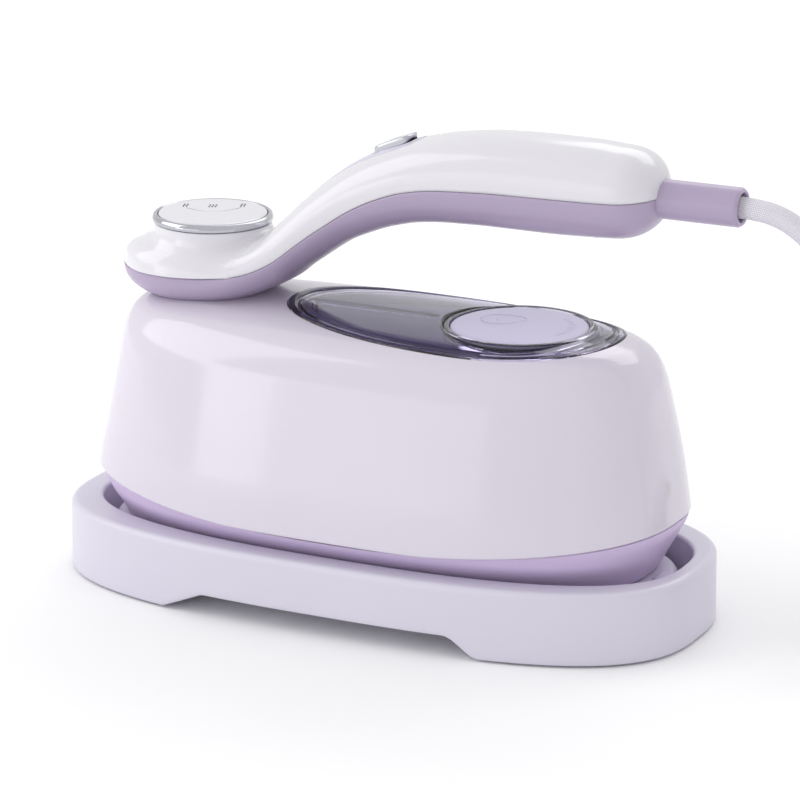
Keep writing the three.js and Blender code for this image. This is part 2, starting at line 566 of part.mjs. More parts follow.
const plugGroup = new THREE.Group();
const heading = THREE.MathUtils.degToRad(PLUG.heading);
const [tailX, tailY] = lastBend(1);
const tailToMiddle = PLUG.length / 2 + PLUG.tail;
plugGroup.position.set(
  tailX + tailToMiddle * Math.cos(heading), tailY + tailToMiddle * Math.sin(heading), PLUG.z,
);
plugGroup.rotation.z = heading;
iron.add(plugGroup);

function makePlugBody() {
  const ring = (x, wide, high) => {
    const points = [];
    for (let step = 0; step < 24; step += 1) {
      const angle = (step / 24) * Math.PI * 2;
      points.push(new THREE.Vector3(
        x, (wide / 2) * signedPower(Math.cos(angle), 0.5), (high / 2) * signedPower(Math.sin(angle), 0.5),
      ));
    }
    return points;
  };
  const { length, width, height, tail, tailRadius } = PLUG;
  return solid(loft([
    ring(-length / 2 - tail, tailRadius * 2, tailRadius * 2), ring(-length / 2, 12.6, 12.6), ring(-length / 2 + 1, width * 0.66, height * 0.8),
    ring(-2, width * 0.8, height * 0.9), ring(length / 2 - 5, width, height), ring(length / 2 - 1, width, height),
    ring(length / 2, width - 2, height - 2),
  ]));
}
piece('plug_body', makePlugBody(), WHITE, plugGroup);
for (const [name, y] of [['live', PIN.spread], ['neutral', -PIN.spread]]) {
  piece(`plug_blade_${name}`, block(
    [PLUG.length / 2 + GAP, y - PIN.halfThick, -PIN.halfDeep],
    [PLUG.length / 2 + PIN.reach, y + PIN.halfThick, PIN.halfDeep],
  ), BRASS, plugGroup);
}

export default iron;
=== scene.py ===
"""Compact steam iron in its rest tray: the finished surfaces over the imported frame.

Sizes inside the classes are millimetres in the part's own frame (nose towards -X,
lead towards +X, +Z up); a mesh gets metres when its points are written.
"""
from __future__ import annotations

import json
import logging
from dataclasses import dataclass, field
from enum import Enum
from math import cos, pi, radians, sin

import bpy
import bmesh
import numpy as np
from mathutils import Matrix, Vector

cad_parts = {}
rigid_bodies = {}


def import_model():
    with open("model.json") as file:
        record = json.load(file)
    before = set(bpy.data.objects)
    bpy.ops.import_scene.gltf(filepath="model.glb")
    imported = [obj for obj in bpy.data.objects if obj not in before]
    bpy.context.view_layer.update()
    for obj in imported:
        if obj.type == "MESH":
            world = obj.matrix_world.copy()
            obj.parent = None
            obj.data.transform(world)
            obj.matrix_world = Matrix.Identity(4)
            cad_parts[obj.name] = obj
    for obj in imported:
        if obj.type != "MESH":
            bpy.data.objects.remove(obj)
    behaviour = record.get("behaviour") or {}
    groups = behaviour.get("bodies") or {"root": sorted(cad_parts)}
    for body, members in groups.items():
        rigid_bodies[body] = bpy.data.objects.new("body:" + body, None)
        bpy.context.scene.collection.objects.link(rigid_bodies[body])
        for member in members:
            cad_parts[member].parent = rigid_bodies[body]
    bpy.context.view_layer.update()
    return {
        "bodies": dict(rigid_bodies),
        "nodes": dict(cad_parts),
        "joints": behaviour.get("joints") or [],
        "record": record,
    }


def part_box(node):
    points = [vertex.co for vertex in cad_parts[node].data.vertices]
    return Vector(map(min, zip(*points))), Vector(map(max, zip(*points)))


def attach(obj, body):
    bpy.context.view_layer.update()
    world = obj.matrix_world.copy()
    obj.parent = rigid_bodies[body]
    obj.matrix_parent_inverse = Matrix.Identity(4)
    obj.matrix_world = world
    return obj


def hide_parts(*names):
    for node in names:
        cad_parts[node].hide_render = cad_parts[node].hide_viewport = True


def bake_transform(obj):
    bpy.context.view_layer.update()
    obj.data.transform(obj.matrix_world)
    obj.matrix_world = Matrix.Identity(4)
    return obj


LOG = logging.getLogger("steam_iron")
MM = 0.001
SLEEVE_MOUTH = 143.0
LEAD_HEIGHT = 167.1
BODY_BEND = 2 / 2.6
FACING = radians(26.4)
Array = np.ndarray
Point = tuple[float, float, float]
Values = tuple[float, ...]
Outline = tuple[tuple[float, float], ...]


class Body(Enum):
    """The rigid bodies that pieces ride on."""

    REST = "rest_base"
    IRON = "iron"
    PLUG = "filler_plug"
    CAP = "filler_cap"
    RING = "selector_ring"
    BUTTON = "steam_button"
    SWIVEL = "cord_swivel"


# ------------------------------------------------------------------ curves and grids
def smooth(at: Array, knots: list[float], values: list[float]) -> Array:
    """Monotone cubic through knots: Hermite pieces with harmonic-mean slopes.

    Args:
        at: where the curve is read.
        knots: rising positions of the given values.
        values: the curve's value at each knot.

    Returns:
        The curve's values at `at`, held level past both ends.
    """
    spot, value = np.asarray(knots, float), np.asarray(values, float)
    step = np.diff(spot)
    chord = np.diff(value) / step
    slope = np.empty_like(value)
    slope[0], slope[-1] = chord[0], chord[-1]
    ahead, behind = 2 * step[1:] + step[:-1], step[1:] + 2 * step[:-1]
    with np.errstate(divide="ignore", invalid="ignore"):
        mean = (ahead + behind) / (ahead / chord[:-1] + behind / chord[1:])
    slope[1:-1] = np.where(chord[:-1] * chord[1:] > 0, mean, 0.0)
    held = np.clip(at, spot[0], spot[-1])
    piece = np.clip(np.searchsorted(spot, held) - 1, 0, len(step) - 1)
    t = (held - spot[piece]) / step[piece]
    run = step[piece]
    return (
        value[piece] * (1 + 2 * t) * (1 - t) ** 2
        + slope[piece] * run * t * (1 - t) ** 2
        + value[piece + 1] * t**2 * (3 - 2 * t)
        + slope[piece + 1] * run * t**2 * (t - 1)
    )


def power(value: Array, exponent: float | Array) -> Array:
    """Raises the size of a value to an exponent and keeps its sign."""
    return np.sign(value) * np.abs(value) ** exponent


def ease(t: Array) -> Array:
    """Smooth step from 0 to 1: 3t^2 - 2t^3 of the clipped value."""
    held = np.clip(t, 0.0, 1.0)
    return held * held * (3 - 2 * held)


def turn(count: int) -> Array:
    """Evenly spaced angles once round, without the last."""
    return np.linspace(0.0, 2 * pi, count, endpoint=False)


def quarter(count: int) -> Array:
    """Evenly spaced angles up to a right angle, without the first."""
    return np.linspace(0.0, pi / 2, count + 1)[1:]


def shares(count: int) -> Array:
    """Evenly spaced shares up to 1, without 0."""
    return np.linspace(0.0, 1.0, count + 1)[1:]


@dataclass(frozen=True)
class Oval:
    """A superellipse in plan, with its own exponent each side of its widest point."""

    front: float
    rear: float
    half: float
    blunt: float = 2.6
    rear_blunt: float | None = None
    widest: float | None = None

    @property
    def middle(self) -> float:
        """X of the widest point."""
        return (self.front + self.rear) / 2 if self.widest is None else self.widest

    def inset(self, by: float) -> "Oval":
        """The same oval drawn in by a distance all round."""
        return Oval(self.front + by, self.rear - by, self.half - by, self.blunt, self.rear_blunt, self.middle)

    def at(self, angle: Array) -> tuple[Array, Array]:
        """Points on the oval: |x|^p + |y|^p = 1, run by angle.

        Args:
            angle: angles from +X towards +Y.

        Returns:
            The x and y of each point.
        """
        blunt, reach = self._side(np.cos(angle) >= 0)
        return (
            self.middle + reach * power(np.cos(angle), 2 / blunt),
            self.half * power(np.sin(angle), 2 / blunt),
        )

    def row(self, angle: Array, inset: float, z: Array | float) -> Array:
        """Points on the oval, drawn in by a distance, at a height."""
        return stack(*self.inset(inset).at(angle), z)

    def share(self, x: Array, y: Array) -> Array:
        """How far out a point is: 0 at the middle, 1 on the oval."""
        blunt, reach = self._side(x >= self.middle)
        return ((np.abs(x - self.middle) / reach) ** blunt + (np.abs(y) / self.half) ** blunt) ** (1 / blunt)

    def _side(self, back: Array) -> tuple[Array, Array]:
        """Exponent and reach: the rear side's where `back` holds, the front side's elsewhere."""
        return (np.where(back, self.rear_blunt or self.blunt, self.blunt),
                np.where(back, self.rear - self.middle, self.middle - self.front))


def stack(x: Array, y: Array, z: Array) -> Array:
    """Three grids of one shape as a grid of points."""
    return np.stack(np.broadcast_arrays(x, y, z), axis=-1).astype(float)


def ring_between(front: Array, rear: Array, half: Array, z: Array, angle: Array) -> Array:
    """The body's rounded oval, |x|^2.6 + |y|^2.6 = 1, between a front and a rear end at a height."""
    return stack((front + rear) / 2 + (rear - front) / 2 * power(np.cos(angle), BODY_BEND),
                 half * power(np.sin(angle), BODY_BEND), z)


def mesh_from_grid(name: str, points: Array, wrap_rows: bool = False,
                   wrap_columns: bool = True) -> bpy.types.Object:
    """A smooth mesh over a grid of points, with poles merged and faces out.

    Args:
        name: the piece's name.
        points: rows by columns by 3, in millimetres.
        wrap_rows: join the last row to the first.
        wrap_columns: join the last column to the first.

    Returns:
        The new object, linked to the scene.
    """
    rows, columns = points.shape[:2]
    index = np.arange(rows * columns).reshape(rows, columns)
    low = index if wrap_rows else index[:-1]
    high = np.roll(index, -1, axis=0) if wrap_rows else index[1:]
    if wrap_columns:
        faces = np.stack([low, np.roll(low, -1, axis=1), np.roll(high, -1, axis=1), high], axis=-1)
    else:
        faces = np.stack([low[:, :-1], low[:, 1:], high[:, 1:], high[:, :-1]], axis=-1)
    mesh = bpy.data.meshes.new(name)
    mesh.from_pydata((points.reshape(-1, 3) * MM).tolist(), [], faces.reshape(-1, 4).tolist())
    uv = mesh.uv_layers.new(name="along")
    loops = np.empty(len(mesh.loops), dtype=np.int64)
    mesh.loops.foreach_get("vertex_index", loops)
    around, onward = (loops % columns) / columns, loops // columns / rows
    uv.data.foreach_set("uv", np.stack([around, onward], axis=-1).ravel())
    tidy = bmesh.new()
    tidy.from_mesh(mesh)
    bmesh.ops.remove_doubles(tidy, verts=tidy.verts, dist=2e-6)
    bmesh.ops.dissolve_degenerate(tidy, edges=tidy.edges, dist=1e-7)
    bmesh.ops.recalc_face_normals(tidy, faces=tidy.faces)
    tidy.to_mesh(mesh)
    tidy.free()
    mesh.polygons.foreach_set("use_smooth", np.ones(len(mesh.polygons), dtype=bool))
    item = bpy.data.objects.new(name, mesh)
    bpy.context.scene.collection.objects.link(item)
    return item


def rounded(profile: Outline, radius: float = 0.4, closed: bool = False) -> Array:
    """A profile with each corner turned into a short arc of four steps.

    Args:
        profile: corner points as (across, along).
        radius: how far back along each side the arc starts, at most 45% of it.
        closed: the last corner joins the first.

    Returns:
        The points of the rounded profile.
    """
    corner = np.asarray(profile, float)
    out: list[Array] = [] if closed else [corner[0]]
    inner = range(len(corner)) if closed else range(1, len(corner) - 1)
    for at in inner:
        here = corner[at]
        before, after = corner[at - 1], corner[(at + 1) % len(corner)]
        back = min(radius, 0.45 * float(np.linalg.norm(here - before)))
        on = min(radius, 0.45 * float(np.linalg.norm(after - here)))
        start = here + (before - here) / np.linalg.norm(before - here) * back
        end = here + (after - here) / np.linalg.norm(after - here) * on
        for t in np.linspace(0, 1, 5):
            out.append((1 - t) ** 2 * start + 2 * t * (1 - t) * here + t**2 * end)
    if not closed:
        out.append(corner[-1])
    return np.array(out)


def turned(name: str, profile: Outline, centre: tuple[float, float] = (0.0, 0.0),
           radius: float = 0.4, steps: int = 128, closed: bool = False) -> bpy.types.Object:
    """A turned piece about a vertical axis.

    Args:
        name: the piece's name.
        profile: (radius, height) corners, ending on the axis or closed.
        centre: the axis in plan.
        radius: rounding of the corners.
        steps: points round it.
        closed: the profile closes on itself, as a ring's does.

    Returns:
        The new object.
    """
    line = rounded(profile, radius, closed)
    angle = turn(steps)
    return mesh_from_grid(name, stack(
        centre[0] + line[:, :1] * np.cos(angle),
        centre[1] + line[:, :1] * np.sin(angle),
        np.repeat(line[:, 1:], steps, axis=1),
    ), wrap_rows=closed)


def carried(name: str, route: Array, reach: Array | float, steps: int = 20) -> bpy.types.Object:
    """A round section carried along a route, closed by a small dome at each end.

    Args:
        name: the piece's name.
        route: points of the centre line.
        reach: the section's radius, one value or one for each point.
        steps: points round the section.

    Returns:
        The new object.
    """
    ahead = np.gradient(route, axis=0)
    ahead /= np.linalg.norm(ahead, axis=1, keepdims=True)
    side = np.empty_like(route)
    guess = np.array([0.0, 1.0, 0.0]) if abs(ahead[0, 1]) < 0.9 else np.array([0.0, 0.0, 1.0])
    for row, direction in enumerate(ahead):
        guess = guess - direction * float(guess @ direction)
        guess = guess / np.linalg.norm(guess)
        side[row] = guess
    lift = np.cross(ahead, side)
    radius = np.broadcast_to(np.asarray(reach, float), (len(route),))
    angle = turn(steps)
    ring = (
        route[:, None, :]
        + radius[:, None, None] * (np.cos(angle)[None, :, None] * side[:, None, :]
                                   + np.sin(angle)[None, :, None] * lift[:, None, :])
    )
    first = np.repeat(route[:1, None, :], steps, axis=1)
    last = np.repeat(route[-1:, None, :], steps, axis=1)
    return mesh_from_grid(name, np.concatenate([first, ring, last]))


# ------------------------------------------------------------------ finishes
class Tree:
    """A small helper that adds and joins a material's nodes."""

    def __init__(self, name: str) -> None:
        """Starts a material whose shader is a Principled BSDF.

        Args:
            name: the material's name.
        """
        self.material = bpy.data.materials.new(name)
        self.material.use_nodes = True
        self.nodes = self.material.node_tree.nodes
        self.links = self.material.node_tree.links
        self.shader = self.nodes["Principled BSDF"]
        self.place = self.nodes.new("ShaderNodeTexCoord")

    def fill(self, node: bpy.types.Node, sockets: dict) -> bpy.types.Node:
        """Fills a node's inputs.

        Args:
            node: the node.
            sockets: for each input, a socket to join to it or a value to set.

        Returns:
            The same node.
        """
        for name, value in sockets.items():
            if isinstance(value, bpy.types.NodeSocket):
                self.links.new(value, node.inputs[name])
            else:
                node.inputs[name].default_value = value
        return node

    def add(self, kind: str, sockets: dict) -> bpy.types.Node:
        """Adds a node and fills its inputs."""
        return self.fill(self.nodes.new(f"ShaderNode{kind}"), sockets)

    def sum(self, operation: str, *values: bpy.types.NodeSocket | float) -> bpy.types.NodeSocket:
        """Works out one arithmetic step."""
        node = self.add("Math", dict(enumerate(values)))
        node.operation = operation
        return node.outputs[0]

    def noise(self, scale: float, detail: float, stretch: Point = (1.0, 1.0, 1.0)) -> bpy.types.NodeSocket:
        """Noise over the object's own coordinates.

        Args:
            scale: cycles to a metre.
            detail: octaves.
            stretch: scale along X, Y and Z.

        Returns:
            The noise's value socket.
        """
        mapping = self.add("Mapping", {"Vector": self.place.outputs["Object"], "Scale": stretch})
        node = self.add("TexNoise", {"Vector": mapping.outputs["Vector"], "Scale": scale, "Detail": detail})
        return node.outputs["Fac"]

    def roughness(self, value: bpy.types.NodeSocket, low: float, high: float) -> None:
        """Maps a 0.3 to 0.7 value onto a range of roughness."""
        node = self.add("MapRange", {"Value": value, "From Min": 0.3, "From Max": 0.7,
                                     "To Min": low, "To Max": high})
        self.fill(self.shader, {"Roughness": node.outputs["Result"]})

    def shades(self, value: bpy.types.NodeSocket, colour: Point, dim: float) -> None:
        """Lets a value choose between a base colour and a dimmed one.

        Args:
            value: the chooser, 0.3 for dim and 0.7 for bright.
            colour: the sRGB colour, 0 to 255.
            dim: the dimmed colour's share of its light.
        """
        base = linear(colour)
        ramp = self.add("ValToRGB", {"Fac": value})
        for element, position, share in zip(ramp.color_ramp.elements, (0.3, 0.7), (dim, 1.0)):
            element.position = position
            element.color = (*(light * share for light in base), 1.0)
        self.fill(self.shader, {"Base Color": ramp.outputs["Color"]})

    def bump(self, value: bpy.types.NodeSocket, depth_mm: float, strength: float = 0.5) -> None:
        """Raises the surface by a value, with its depth in millimetres."""
        node = self.add("Bump", {"Height": value, "Strength": strength, "Distance": depth_mm * MM})
        self.fill(self.shader, {"Normal": node.outputs["Normal"]})


def linear(colour: Point) -> Point:
    """An sRGB colour given as 0 to 255, in linear light."""
    share = np.asarray(colour, float) / 255
    light = np.where(share <= 0.04045, share / 12.92, ((share + 0.055) / 1.055) ** 2.4)
    return tuple(float(value) for value in light)


@dataclass(frozen=True)
class Moulded:
    """Injection-moulded plastic: even colour, faint flow shading and orange peel."""

    name: str
    colour: Point
    roughness: float = 0.25
    coat: float = 0.0
    grain: float = 0.02
    depth: float = 0.0

    def material(self) -> bpy.types.Material:
        """Builds the plastic's nodes."""
        tree = Tree(self.name)
        tree.shades(tree.noise(9.0, 2.0), self.colour, 0.975)
        tree.roughness(tree.noise(55.0, 4.0), self.roughness * 0.9, self.roughness * 1.12)
        tree.bump(tree.noise(900.0, 2.0), self.grain)
        tree.fill(tree.shader, {"IOR": 1.5, "Coat Weight": self.coat, "Coat Roughness": 0.05})
        if self.depth:
            tree.fill(tree.shader, {"Subsurface Weight": self.depth, "Subsurface Radius": (1.0, 0.9, 1.0),
                                    "Subsurface Scale": 0.002})
        return tree.material


@dataclass(frozen=True)
class Metal:
    """Bare or plated metal with handling haze and, where brushed, long fine lines."""

    name: str
    colour: Point
    roughness: float = 0.12
    brushed: Point = (1.0, 1.0, 1.0)
    grain: float = 0.004

    def material(self) -> bpy.types.Material:
        """Builds the metal's nodes."""
        tree = Tree(self.name)
        tree.shades(tree.noise(30.0, 3.0), self.colour, 0.93)
        tree.roughness(tree.noise(120.0, 4.0, self.brushed), self.roughness * 0.75, self.roughness * 1.3)
        tree.bump(tree.noise(1400.0, 2.0, self.brushed), self.grain, 0.3)
        tree.fill(tree.shader, {"Metallic": 1.0})
        return tree.material


@dataclass(frozen=True)
class ClearPlastic:
    """Clear or smoke-tinted moulding that light passes through."""

    name: str
    colour: Point
    roughness: float = 0.03

    def material(self) -> bpy.types.Material:
        """Builds the clear plastic's nodes."""
        tree = Tree(self.name)
        tree.shades(tree.noise(14.0, 2.0), self.colour, 0.96)
        tree.roughness(tree.noise(80.0, 3.0), self.roughness * 0.7, self.roughness * 1.5)
        tree.bump(tree.noise(160.0, 2.0), 0.02, 0.4)
        tree.fill(tree.shader, {"Transmission Weight": 1.0, "IOR": 1.46})
        return tree.material


@dataclass(frozen=True)
class Braid:
    """Woven textile sleeve: two sets of slanting threads read along the piece's own UV map."""

    name: str
    colour: Point
    threads: float = 16.0
    repeats: float = 900.0

    def material(self) -> bpy.types.Material:
        """Builds the weave's nodes."""
        tree = Tree(self.name)
        along = tree.add("SeparateXYZ", {"Vector": tree.place.outputs["UV"]})
        threads = []
        for lean in (1.0, -1.0):
            around = tree.sum("MULTIPLY", along.outputs["X"], self.threads * 2 * pi * lean)
            onward = tree.sum("MULTIPLY", along.outputs["Y"], self.repeats * 2 * pi)
            threads.append(tree.sum("SINE", tree.sum("ADD", around, onward)))
        weave = tree.sum("MULTIPLY_ADD", tree.sum("MULTIPLY", threads[0], 0.5), threads[1], 0.5)
        tree.shades(weave, self.colour, 0.7)
        tree.bump(weave, 0.25, 0.8)
        tree.fill(tree.shader, {"Roughness": 0.85, "Sheen Weight": 0.3})
        return tree.material


FINISHES = {finish.name: finish for finish in (
    Moulded("white_shell", (219, 217, 223), 0.2, coat=0.5, depth=0.1),
    Moulded("body_white", (212, 206, 219), 0.15, coat=0.4, depth=0.1),
    Moulded("tray_lavender", (210, 206, 220), 0.34, coat=0.15, depth=0.1),
    Moulded("pad_lavender", (214, 208, 226), 0.6, grain=0.06),
    Moulded("mauve", (172, 157, 185), 0.34, coat=0.2, depth=0.08),
    # the skirt's mauve is painted light: lighter than the grip's mauve, to offset the shade it sits in under
    # the body and inside the tray
    Moulded("skirt_mauve", (205, 187, 220), 0.42, depth=0.05),
    Moulded("cap_lavender", (198, 193, 217), 0.42, grain=0.03, depth=0.08),
    Moulded("inlay_lavender", (204, 199, 217), 0.3, coat=0.3),
    Moulded("print_grey", (84, 76, 112), 0.5),
    Moulded("silicone", (232, 230, 226), 0.6, grain=0.05),
    Moulded("dark_plastic", (58, 58, 64), 0.5),
    Moulded("board_green", (46, 104, 72), 0.5),
    Moulded("plug_white", (230, 226, 236), 0.4, grain=0.03, depth=0.05),
    Metal("chrome", (192, 193, 200), 0.07),
    Metal("steel", (196, 198, 200), 0.24, brushed=(1.0, 14.0, 1.0)),
    Metal("cast_aluminium", (170, 172, 175), 0.45, grain=0.05),
    Metal("brass", (204, 170, 96), 0.22),
    ClearPlastic("tank_tint", (206, 199, 228), 0.03),
    Moulded("tank_frost", (176, 172, 196), 0.3, coat=0.5),
    ClearPlastic("clear", (232, 230, 240), 0.05),
    Braid("braid", (236, 232, 243)),
)}


@dataclass
class Wardrobe:
    """Makes each finish once and dresses pieces with it."""

    made: dict[str, bpy.types.Material] = field(default_factory=dict)

    def material(self, slot: str) -> bpy.types.Material:
        """The finish's material, built at its first use."""
        if slot not in self.made:
            self.made[slot] = FINISHES[slot].material()
        return self.made[slot]

    def dress(self, item: bpy.types.Object, slot: str) -> None:
        """Puts one finish on a piece."""
        item.data.materials.clear()
        item.data.materials.append(self.material(slot))

    def fit(self, item: bpy.types.Object, slot: str, body: Body, *nodes: str) -> bpy.types.Object:
        """Dresses a new piece, lets it ride and hides the solids it stands for.

        Args:
            item: the new piece.
            slot: the finish's name.
            body: the body it moves with.
            nodes: the CAD nodes it stands for.

        Returns:
            The same piece.
        """
        self.dress(item, slot)
        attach(item, body.value)
        if nodes:
            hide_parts(*nodes)
        LOG.info("%s: %s on %s, %d faces", item.name, slot, body.value, len(item.data.polygons))
        return item


@dataclass(frozen=True)
class Seat:
    """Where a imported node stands, in millimetres."""

    low: Array
    high: Array

    @classmethod
    def of(cls, node: str) -> "Seat":
        """Reads a node's box from the frame."""
        low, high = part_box(node)
        return cls(np.array(low) / MM, np.array(high) / MM)

    @property
    def centre(self) -> tuple[float, float]:
        """The middle in plan."""
        middle = (self.low + self.high) / 2
        return float(middle[0]), float(middle[1])


@dataclass
class Assembly:
    """A sub-assembly, which dresses its pieces from the wardrobe."""

    wardrobe: Wardrobe


# ------------------------------------------------------------------ studio
@dataclass
class Studio:
    """Camera, floor and soft lights."""

    azimuth: float = 26.42
    elevation: float = 16.71
    distance: float = 1.5
    target: Point = (0.0052, 0.0, 0.0766)
    lens: float = 177.2
    surround: float = 0.87
    floor_reach: float = 6.0

    def build(self) -> None:
        """Sets up the camera, the floor, the world and the lamps."""
        bpy.context.scene.view_settings.view_transform = "Standard"
        self._camera()
        self._floor()
        self._world()
        for name, place, size, watts in (
            ("key", (-1.65, -0.75, 1.2), (1.6, 1.6), 13.0),
            ("panel", (-0.62, -1.42, 0.24), (1.35, 0.44), 1.3),
            ("strip", (-0.94, -1.17, 0.24), (0.38, 0.44), 0.6),
            ("back", (0.1, 1.5, 1.5), (1.8, 1.0), 8.5),
        ):
            self._lamp(name, place, size, watts)

    def _camera(self) -> None:
        """Places the camera on its line of sight to the target."""
        turned_by, raised = radians(self.azimuth), radians(self.elevation)
        back = Vector((sin(turned_by) * cos(raised), -cos(turned_by) * cos(raised), sin(raised)))
        camera = bpy.data.objects.new("camera", bpy.data.cameras.new("camera"))
        camera.data.lens = self.lens
        camera.data.sensor_width = 36.0
        camera.data.clip_end = 20.0
        camera.location = Vector(self.target) + back * self.distance
        camera.rotation_euler = back.to_track_quat("Z", "Y").to_euler()
        bpy.context.scene.collection.objects.link(camera)
        bpy.context.scene.camera = camera

    def _floor(self) -> None:
        """A wide plain floor just under the tray's pads."""
        mesh = bpy.data.meshes.new("floor")
        reach = self.floor_reach
        corners = [(-reach, -reach, 0), (reach, -reach, 0), (reach, reach, 0), (-reach, reach, 0)]
        mesh.from_pydata(corners, [], [(0, 1, 2, 3)])
        floor = bpy.data.objects.new("floor", mesh)
        floor.location.z = -0.0002
        bpy.context.scene.collection.objects.link(floor)
        tree = Tree("floor")
        tree.fill(tree.shader, {"Base Color": (0.96, 0.96, 0.965, 1.0), "Roughness": 0.9,
                                "Specular IOR Level": 0.1})
        mesh.materials.append(tree.material)

    def _world(self) -> None:
        """An even white surround."""
        world = bpy.data.worlds.new("surround")
        world.use_nodes = True
        light = world.node_tree.nodes["Background"].inputs
        light["Color"].default_value = (1.0, 1.0, 1.0, 1.0)
        light["Strength"].default_value = self.surround
        bpy.context.scene.world = world

    def _lamp(self, name: str, place: Point, size: tuple[float, float], watts: float) -> None:
        """A softbox that faces the iron.

        Args:
            name: the lamp's name.
            place: where it hangs, in metres.
            size: its width and height in metres.
            watts: its power.
        """
        lamp = bpy.data.lights.new(name, "AREA")
        lamp.shape = "RECTANGLE"
        lamp.size, lamp.size_y = size
        lamp.energy = watts
        item = bpy.data.objects.new(name, lamp)
        item.location = place
        item.rotation_euler = (Vector(place) - Vector((0.0, 0.0, 0.07))).to_track_quat("Z", "Y").to_euler()
        bpy.context.scene.collection.objects.link(item)


